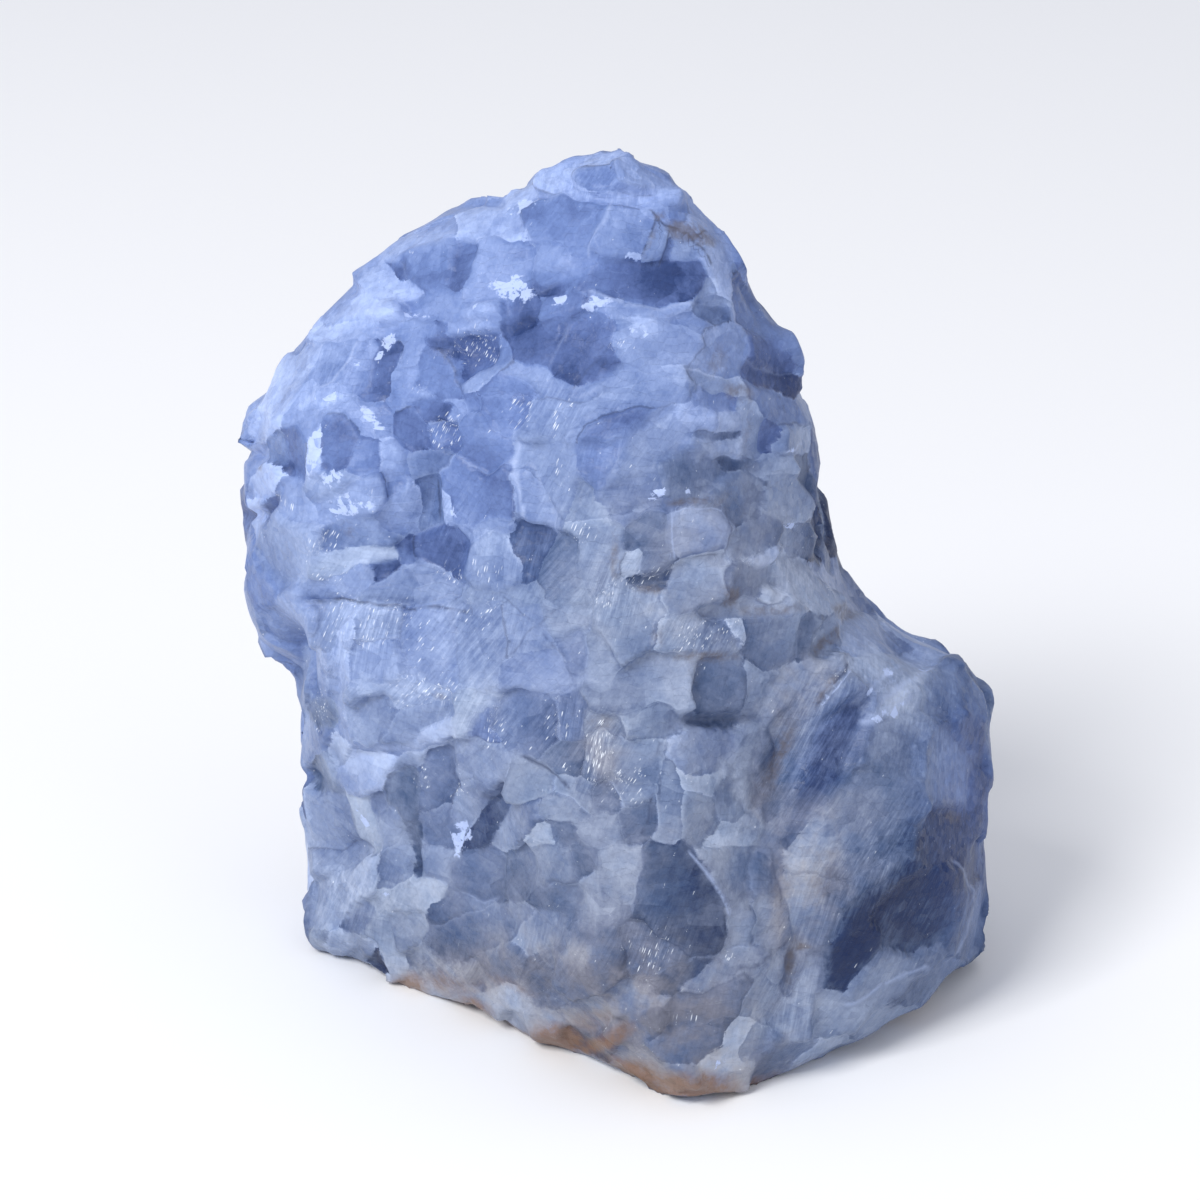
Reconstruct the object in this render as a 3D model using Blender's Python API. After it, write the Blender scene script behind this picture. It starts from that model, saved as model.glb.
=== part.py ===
"""A rough lump of blue calcite: one natural piece that stands on a small flat spot.

The stone is a leaning spire on a broad base, with a rounded boss at the lower right of its front.
It is modelled in metres, with +Z up, its front towards -Y, and its origin under its middle.
"""

import math

import bmesh
import bpy
import numpy as np
from mathutils import kdtree

# The stone's height, in metres, and the height at which its landmarks were measured, in mm.
HEIGHT = 0.125
LANDMARK_HEIGHT = 125.0
UNIT = HEIGHT / LANDMARK_HEIGHT

# The surface is a distance from this point inside the stone, for every direction. It is in mm
# at the height above, as all the landmarks are: x to the right, y to the back and z up.
CORE = (-2.0, 0.0, 38.0)

# The outline of the spire as its front shows it, down its left side from the peak.
LEFT_OUTLINE = [
    (0.0, -8.0, 125.5),
    (-7.5, 0.0, 121.5),
    (-15.0, 3.0, 116.5),
    (-21.5, 5.0, 114.0),
    (-31.0, 8.0, 107.5),
    (-39.0, 10.0, 99.5),
    (-43.0, 12.0, 92.5),
    (-48.5, 12.0, 89.0),
    (-50.0, 12.0, 83.5),
    (-53.0, 12.0, 79.0),
    (-51.0, 12.0, 75.0),
    (-54.0, 12.0, 69.5),
    (-52.0, 12.0, 61.5),
    (-54.0, 12.0, 52.5),
    (-52.5, 12.0, 49.0),
    (-47.0, 12.0, 44.5),
    (-46.0, 12.0, 36.0),
    (-46.5, 10.0, 26.5),
    (-44.5, 8.0, 12.0),
    (-46.0, 8.0, 5.0),
]

# The outline down the right side from the peak, over the shoulder and round the boss.
RIGHT_OUTLINE = [
    (3.0, -8.0, 125.0),
    (6.0, -6.0, 122.5),
    (9.5, -3.0, 117.5),
    (14.0, 0.0, 111.0),
    (17.0, 2.0, 103.5),
    (20.5, 2.0, 99.5),
    (24.0, 2.0, 94.0),
    (25.5, 2.0, 87.0),
    (27.5, 2.0, 85.0),
    (27.0, 5.0, 74.0),
    (30.0, 15.0, 67.5),
    (30.5, 10.0, 59.5),
    (36.5, 12.0, 54.5),
    (38.0, 15.0, 51.5),
    (42.0, 12.0, 50.5),
    (45.0, 0.0, 50.5),
    (50.0, 5.0, 47.0),
    (53.5, 6.0, 40.0),
    (54.0, 6.0, 34.0),
    (53.0, 5.0, 17.0),
    (55.0, 5.0, 7.0),
]

# The edge that faces the viewer, from the toe of the base up to the peak.
FRONT_EDGE = [
    (7.0, -43.0, 9.0),
    (5.5, -43.0, 18.0),
    (3.0, -42.0, 32.0),
    (0.0, -39.0, 45.5),
    (-2.5, -36.0, 58.5),
    (-4.0, -32.0, 71.0),
    (-4.0, -29.0, 84.0),
    (-2.5, -25.0, 96.5),
    (0.0, -20.0, 108.5),
    (1.5, -14.0, 117.5),
]

# The broad left front face, with the hollow and the knob of the head and the smooth skirt below.
LEFT_FACE = [
    (-13.0, -8.0, 111.5),
    (-22.5, -8.0, 104.5),
    (-32.5, -4.0, 97.5),
    (-22.0, -14.0, 93.0),
    (-13.0, -19.0, 96.0),
    (-37.0, -14.0, 83.0),
    (-46.0, -3.0, 78.0),
    (-26.0, -14.0, 79.0),
    (-16.0, -22.0, 84.0),
    (-26.0, -15.0, 70.0),
    (-8.0, -26.0, 78.0),
    (-45.0, -6.0, 63.5),
    (-35.0, -16.0, 69.0),
    (-16.0, -24.0, 70.0),
    (-35.0, -15.5, 58.0),
    (-22.0, -21.0, 61.0),
    (-33.0, -18.0, 53.0),
    (-20.0, -26.0, 56.0),
    (-43.0, -5.0, 49.0),
    (-36.0, -13.0, 43.0),
    (-10.0, -32.0, 55.0),
    (-38.5, -3.0, 27.0),
    (-23.5, -18.0, 33.5),
    (-24.0, -20.0, 44.0),
    (-13.5, -28.0, 27.0),
    (-39.5, -1.0, 10.0),
    (-29.0, -10.0, 9.0),
    (-17.0, -22.0, 9.0),
    (-3.0, -33.0, 9.0),
]

# The right front face, with the blocky shelf half way down it.
RIGHT_FACE = [
    (10.5, -15.0, 109.0),
    (11.5, -21.0, 97.0),
    (19.5, -10.0, 98.5),
    (19.5, -16.0, 83.0),
    (13.5, -27.0, 74.5),
    (23.0, -14.0, 77.0),
    (25.0, -9.0, 72.0),
    (24.5, -20.0, 66.0),
    (10.5, -33.0, 60.0),
    (22.0, -23.0, 57.0),
    (30.0, -11.0, 60.0),
    (33.0, 0.0, 56.0),
    (11.0, -37.0, 44.5),
    (11.0, -41.0, 31.5),
    (20.5, -28.0, 37.5),
    (21.0, -27.0, 47.0),
]

# The boss at the lower right, with the groove that parts it from the rest.
BOSS = [
    (24.0, -24.0, 54.0),
    (32.0, -17.0, 54.5),
    (28.5, -27.0, 50.0),
    (35.5, -23.0, 45.0),
    (43.5, -11.0, 47.0),
    (48.0, -9.0, 38.0),
    (39.0, -26.0, 33.0),
    (48.5, -11.0, 25.0),
    (32.0, -33.0, 26.0),
    (26.5, -33.0, 23.0),
    (42.0, -23.0, 15.0),
    (51.0, -6.0, 12.0),
    (18.5, -38.0, 12.0),
    (31.0, -32.0, 12.0),
]

# The edge of the base round the front, from the left corner past the toe to the right corner.
BASE_EDGE = [
    (-45.5, 7.0, 0.5),
    (-31.5, -6.0, 0.5),
    (-22.5, -11.5, 0.5),
    (-15.5, -19.0, 0.5),
    (-9.0, -25.0, 0.5),
    (-2.5, -29.0, 0.5),
    (3.0, -34.0, 0.5),
    (8.5, -40.5, 0.5),
    (17.0, -37.5, 1.0),
    (25.0, -32.0, 1.5),
    (33.5, -26.0, 2.0),
    (42.0, -18.0, 2.5),
    (49.0, -8.0, 3.0),
    (52.5, 4.0, 1.0),
]

# The back, which falls from the peak in broad lumps, and both flanks.
BACK = [
    (-2.0, 4.0, 118.5),
    (-12.0, 15.0, 112.0),
    (8.0, 10.0, 105.0),
    (-28.0, 21.0, 98.0),
    (-8.0, 27.0, 99.0),
    (12.0, 16.0, 95.0),
    (-41.0, 25.0, 83.0),
    (-25.0, 34.0, 82.0),
    (1.0, 33.0, 82.0),
    (21.0, 18.0, 78.0),
    (-45.0, 26.0, 64.0),
    (-29.0, 37.0, 62.0),
    (-9.0, 33.0, 66.0),
    (8.0, 36.0, 62.0),
    (24.0, 25.0, 62.0),
    (-42.5, 21.0, 43.0),
    (-34.0, 34.0, 42.0),
    (-17.0, 38.0, 45.0),
    (0.0, 44.0, 41.0),
    (16.0, 36.0, 44.0),
    (31.0, 26.0, 48.0),
    (44.5, 20.0, 39.0),
    (-38.5, 30.0, 20.0),
    (-24.0, 42.0, 24.0),
    (-6.0, 41.0, 20.0),
    (10.0, 45.5, 22.0),
    (27.0, 36.0, 21.0),
    (40.0, 31.0, 25.0),
    (50.0, 18.0, 22.0),
    (-36.0, 27.0, 4.0),
    (-20.0, 37.0, 4.0),
    (-2.0, 38.0, 4.0),
    (12.0, 42.0, 5.0),
    (28.0, 34.0, 4.0),
    (41.0, 24.0, 5.0),
]

# The rim of the underside: on the ground at the front left, and lifted a little off it elsewhere.
UNDERSIDE_RIM = [
    (-40.0, 10.0, -0.5),
    (-28.0, -2.0, -0.5),
    (-15.0, -14.0, -0.5),
    (-3.0, -25.0, -0.5),
    (8.0, -34.0, -0.5),
    (20.0, -27.0, -0.5),
    (30.0, -20.0, 0.5),
    (38.0, -8.0, 1.5),
    (42.0, 10.0, 1.5),
    (22.0, 31.0, 1.0),
    (0.0, 36.0, 1.0),
    (-20.0, 33.0, 1.0),
    (-35.0, 23.0, 1.0),
]

# The middle of the underside, modelled below the ground so that the cut there leaves it flat.
UNDERSIDE_MIDDLE = [
    (-22.0, 14.0, -3.0),
    (0.0, 0.0, -4.0),
    (8.0, -22.0, -3.0),
    (24.0, -4.0, -3.0),
    (6.0, 20.0, -3.0),
]

LANDMARKS = (
    LEFT_OUTLINE
    + RIGHT_OUTLINE
    + FRONT_EDGE
    + LEFT_FACE
    + RIGHT_FACE
    + BOSS
    + BASE_EDGE
    + BACK
    + UNDERSIDE_RIM
    + UNDERSIDE_MIDDLE
)

# How softly the surface passes through a landmark, as a share of the unit sphere.
LANDMARK_SOFTNESS = 0.02

# The blocks that the stone is grown from show as facets: how far apart they are, how far they
# lean and stand proud, how wide the bend between two of them is, and how far one may pull the
# surface. LEAST_FACING keeps a facet seen edge on from the core from reaching far out.
FACET_SPACING_MM = 7.5
FACET_LEAN_DEG = 3.5
FACET_PROUD_MM = 0.3
FACET_BLEND_MM = 0.35
FACET_PULL_MM = 1.2
FACETS_BLENDED = 3
LEAST_FACING = 0.35
SEED = 7

SPHERE_STEPS = 7
MOST_TRIANGLES = 8000

STONE_COLOUR = (0.30, 0.39, 0.66, 1.0)
STONE_ROUGHNESS = 0.4


def clear_scene():
    for old in list(bpy.data.objects):
        bpy.data.objects.remove(old)


def soft_distance(towards, others):
    """How far apart directions are, rounded off near zero. One row for each of towards."""
    apart = ((towards[:, None, :] - others[None, :, :]) ** 2).sum(axis=2)
    return np.sqrt(apart + LANDMARK_SOFTNESS**2)


def fit_landmarks():
    """The landmarks' directions from the core, and the weights that carry the surface through them."""
    offsets = np.array(LANDMARKS) - np.array(CORE)
    distances = np.linalg.norm(offsets, axis=1)
    directions = offsets / distances[:, None]
    count = len(distances)
    system = np.ones((count + 1, count + 1))
    system[:count, :count] = soft_distance(directions, directions)
    system[count, count] = 0.0
    weights = np.linalg.solve(system, np.append(distances, 0.0))
    return directions, weights


def distance_to_surface(directions):
    """How far the smooth surface is from the core in each direction, in mm."""
    known, weights = fit_landmarks()
    return soft_distance(directions, known) @ weights[:-1] + weights[-1]


def spread_seeds(points, chance):
    """Points of the surface picked at random, none of them nearer to another than a facet is wide."""
    seeds = points[:1]
    for point in points[chance.permutation(len(points))]:
        if ((seeds - point) ** 2).sum(axis=1).min() > FACET_SPACING_MM**2:
            seeds = np.vstack([seeds, point])
    return seeds


def nearest_seeds(points, seeds):
    """For each point, the numbers of the seeds nearest to it, and how far away they are."""
    tree = kdtree.KDTree(len(seeds))
    for number, seed in enumerate(seeds):
        tree.insert(seed, number)
    tree.balance()
    found = [tree.find_n(point, FACETS_BLENDED) for point in points]
    numbers = np.array([[seed[1] for seed in row] for row in found])
    gaps = np.array([[seed[2] for seed in row] for row in found])
    return numbers, gaps


def lay_facets(points, block, count, chance):
    """Each facet's normal, and how far its plane is from the core. It leans from the best fit at random."""
    tilt = math.tan(math.radians(FACET_LEAN_DEG))
    normals = np.zeros((count, 3))
    offsets = np.zeros(count)
    for number in range(count):
        inside = points[block == number]
        middle = inside.mean(axis=0)
        normal = np.linalg.svd(inside - middle, full_matrices=False)[2][2]
        normal = normal * np.sign(normal @ middle) + chance.normal(0.0, tilt, 3)
        normals[number] = normal / np.linalg.norm(normal)
        offsets[number] = normals[number] @ middle + chance.normal(0.0, FACET_PROUD_MM)
    return normals, offsets


def facet_distances(directions, distances):
    """The distances with the surface flattened, block by block, into leaning facets."""
    chance = np.random.default_rng(SEED)
    points = directions * distances[:, None]
    seeds = spread_seeds(points, chance)
    near, gaps = nearest_seeds(points, seeds)
    normals, offsets = lay_facets(points, near[:, 0], len(seeds), chance)
    facing = (directions[:, None, :] * normals[near]).sum(axis=2)
    flat = offsets[near] / np.maximum(facing, LEAST_FACING)
    share = np.exp((gaps[:, :1] - gaps) / FACET_BLEND_MM)
    blended = (flat * share).sum(axis=1) / share.sum(axis=1)
    return distances + np.clip(blended - distances, -FACET_PULL_MM, FACET_PULL_MM)


def shape_stone(body):
    """Moves a unit sphere's points out to the stone's faceted surface."""
    directions = np.array([point.co.normalized() for point in body.verts])
    distances = facet_distances(directions, distance_to_surface(directions))
    places = (directions * distances[:, None] + np.array(CORE)) * UNIT
    for point, place in zip(body.verts, places):
        point.co = place


def thin_out(stone):
    """Reduces the mesh to its budget, which keeps the edges between facets."""
    thinner = stone.modifiers.new("thinner", "DECIMATE")
    thinner.ratio = MOST_TRIANGLES / len(stone.data.polygons)
    graph = bpy.context.evaluated_depsgraph_get()
    thinned = bpy.data.meshes.new_from_object(stone.evaluated_get(graph))
    stone.modifiers.clear()
    stone.data = thinned


def cut_flat_spot(body):
    """Cuts the underside off level with the ground, which leaves the flat spot that it rests on."""
    everything = body.verts[:] + body.edges[:] + body.faces[:]
    cut = bmesh.ops.bisect_plane(
        body, geom=everything, dist=1e-7, plane_co=(0, 0, 0), plane_no=(0, 0, -1), clear_outer=True
    )
    rim = [item for item in cut["geom_cut"] if isinstance(item, bmesh.types.BMEdge)]
    bmesh.ops.holes_fill(body, edges=rim)
    bmesh.ops.triangulate(body, faces=body.faces[:])


def centre_on_origin(body):
    """Puts the origin under the middle of the stone's box."""
    places = np.array([point.co for point in body.verts])
    middle = (places.min(axis=0) + places.max(axis=0)) / 2
    bmesh.ops.translate(body, verts=body.verts[:], vec=(-middle[0], -middle[1], 0.0))


def calcite():
    """The stone's plain material."""
    material = bpy.data.materials.new("blue_calcite")
    material.use_nodes = True
    shader = material.node_tree.nodes["Principled BSDF"]
    shader.inputs["Base Color"].default_value = STONE_COLOUR
    shader.inputs["Roughness"].default_value = STONE_ROUGHNESS
    shader.inputs["Metallic"].default_value = 0.0
    return material


def make_stone(collection):
    body = bmesh.new()
    bmesh.ops.create_icosphere(body, subdivisions=SPHERE_STEPS, radius=1.0)
    shape_stone(body)
    mesh = bpy.data.meshes.new("calcite_lump")
    body.to_mesh(mesh)
    body.free()
    stone = bpy.data.objects.new("calcite_lump", mesh)
    collection.objects.link(stone)
    thin_out(stone)
    body = bmesh.new()
    body.from_mesh(stone.data)
    cut_flat_spot(body)
    centre_on_origin(body)
    body.to_mesh(stone.data)
    body.free()
    stone.data.materials.clear()
    stone.data.materials.append(calcite())
    return stone


def main():
    clear_scene()
    collection = bpy.data.collections.new("blue_calcite")
    bpy.context.scene.collection.children.link(collection)
    make_stone(collection)


main()
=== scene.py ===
"""A rough lump of blue calcite, resting on a pale floor under soft light."""

import math

import bmesh
import bpy
import numpy as np
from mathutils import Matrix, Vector


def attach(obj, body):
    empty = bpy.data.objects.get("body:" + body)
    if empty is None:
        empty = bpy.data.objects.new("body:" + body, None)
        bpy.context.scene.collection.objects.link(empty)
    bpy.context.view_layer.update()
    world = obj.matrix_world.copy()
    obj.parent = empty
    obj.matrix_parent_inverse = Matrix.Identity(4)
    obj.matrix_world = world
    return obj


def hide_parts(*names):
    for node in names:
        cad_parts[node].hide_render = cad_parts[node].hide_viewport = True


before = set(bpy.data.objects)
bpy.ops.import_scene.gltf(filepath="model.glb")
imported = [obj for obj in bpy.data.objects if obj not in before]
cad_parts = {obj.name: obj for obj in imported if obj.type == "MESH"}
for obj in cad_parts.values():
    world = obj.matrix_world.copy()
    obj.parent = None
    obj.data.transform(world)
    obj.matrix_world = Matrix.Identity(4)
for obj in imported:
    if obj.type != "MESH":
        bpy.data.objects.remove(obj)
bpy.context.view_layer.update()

MM = 0.001
SEED = 11

# The camera stands a little above the stone and looks at its middle. PICTURE is the frame's side in pixels.
PICTURE = 1200
LENS = 120.0
SENSOR = 36.0
FOCAL = LENS / SENSOR * PICTURE
AIM = Vector((-0.0033, -0.001, 0.058))
DISTANCE = 0.56
ELEVATION = math.radians(22.0)
FORWARD = Vector((0.0, math.cos(ELEVATION), -math.sin(ELEVATION)))
UP = Vector((0.0, math.sin(ELEVATION), math.cos(ELEVATION)))
RIGHT = Vector((1.0, 0.0, 0.0))
EYE = AIM - FORWARD * DISTANCE

# The floor reaches this far each way, in metres.
FLOOR_REACH = 3.0

# The skin: how fine the stone's mesh is, and how often its large facets are worn round, before and after
# the seen side is made finer. The points on the floor stay where they are.
SKIN_GRID = 1.14 * MM
SKIN_WEAR = 8
SKIN_FINE_WEAR = 2
SKIN_WEAR_STEP = 0.5
WORN_ABOVE = 0.1 * MM
SAME_POINT = 0.01 * MM

# A facing is 1 where the surface looks at the camera and 0 where it is seen side on. From the first facing
# on, a grain drawn on the picture counts as so many millimetres further off, and it ends at the last facing.
TURNED_AWAY = 0.12
TURNED_COST = 45.0
TURNED_PAST = -0.25
# How far outside itself a grain is looked for: a drawn one in pixels, a loose one in millimetres.
DRAWN_MARGIN = 60.0
LOOSE_MARGIN = 9.0
FAR_OFF = 99.0
TINY = 1e-9

# Grains that no list names are laid at random. In millimetres, apart from shares of a radius or a reach.
LOOSE_GRAIN_SMALL = 2.2
LOOSE_GRAIN_LARGE = 7.6
LOOSE_FEW_LARGE = 2.2
LOOSE_GRAIN_REACH = 7.0
LOOSE_STUBBY = -0.7
LOOSE_GRAIN_DEPTH = 1.6
LOOSE_GRAIN_TRIES = 9000
LOOSE_CLEAR_OF_DRAWN = 0.7
LOOSE_CLEAR_OF_LOOSE = 0.85
LOOSE_FACE_SHARE = 1.7

# The relief, in millimetres.
GRAIN_WOBBLE = 0.22
GRAIN_WOBBLE_SIZE = 4.0
WOBBLE_WAVES = 24
WAVE_SPREAD = (0.7, 1.5)
FACE_FLATNESS = 0.8
FACE_LEAN_DEG = 8.0
FACE_MOST = 1.2
FACE_BLEND = 0.4
FACE_LIFT = 0.15
FACE_STEEPEST = 0.5
LIFT_SHARE = 0.75
# Relief is held back where the surface turns away from the camera, so the outline keeps its shape.
OUTLINE_SHARE = 0.30
OUTLINE_TURN = 0.34
GROOVE_DEEPEST = 0.25
GROOVE_WIDE = 0.7
GRAINS_BLENDED = 4
# The relief fades out just above the floor, and nicks in the outline fade out lower down.
LEVEL_BASE = 1.5
NICKED_ABOVE = 45.0

# Inside one grain the tone drifts from one side to the other, mostly paler towards the lamp: how much a
# millimetre, and at most.
DRIFT_TOWARDS = (-0.3, -0.3, 0.6)
DRIFT_SLOPE = 0.03
DRIFT_MOST = 0.13

# A loose grain takes the look of the drawn ones near it, within this many pixels. Where there are none, its
# place in millimetres decides: the stone is bluer and paler up and left, greyer and darker down and right,
# partly its own colour and partly painted light and shade from the lamp up to the left.
TONE_REACH = 38.0
PLACE_WEIGHT = 0.05
GREY_MIDDLE = 0.40
GREY_SHARE = 0.35
GREY_ACROSS = 50.0
GREY_LEVEL = 55.0
GREY_UP = 60.0
GREY_MOST = 0.9
BLUE_TONE = 0.58
GREY_TONE_LOSS = 0.16
TONE_SPREAD_SEEN = 0.10
TONE_SPREAD_HIDDEN = 0.13
GREY_SPREAD = 0.10
LOOSE_TONES = (0.1, 0.95)

# How far grains run into each other where they fade, in millimetres.
FADE_WIDE = 1.6

# A thin line keeps its shade close by and loses it so far beside it and past its ends. In millimetres.
LINE_KEPT = 1.6
LINE_BESIDE = 1.2
LINE_PAST_END = 0.8
LINE_THINNEST = 0.1
LINE_NONE_NEAR = 9.0

# On the sides and back, which the picture doesn't show, the weather and the painted glints lie in loose drifts.
# Sizes in millimetres.
DRIFT_SIZES = {"chalk": 14.0, "dirt": 18.0, "stain": 22.0, "painted_glint": 10.0, "streak": 16.0}
DRIFT_WAVES = 20
DRIFT_TONE = 0.05
# There the iron stain stays this near the floor, in millimetres, and is this uneven.
STAINED_BELOW = 9.0
STAIN_UNEVEN = 0.6
# How much of its strength the drawn chalk keeps.
CHALK_SHARE = 0.76

# Three numbers without a pattern, which scatter two grains' numbers into one chance.
SCATTER_LOW, SCATTER_HIGH, SCATTER_BOTH = 12.9898, 78.233, 43758.5453

# How light and how grey each kind of grain is.
TONES = {
    "milk": (0.97, 0.15), "pale": (0.82, 0.10), "sky": (0.66, 0.20), "blue": (0.50, 0.00),
    "deep": (0.30, 0.00), "ink": (0.12, 0.05), "pearl": (0.80, 0.40), "lilac": (0.66, 0.40),
    "steel": (0.50, 0.42), "storm": (0.28, 0.45), "mist": (0.84, 0.75), "haze": (0.66, 0.72),
    "dusk": (0.48, 0.78), "slate": (0.27, 0.90), "night": (0.10, 0.90),
}

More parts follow.
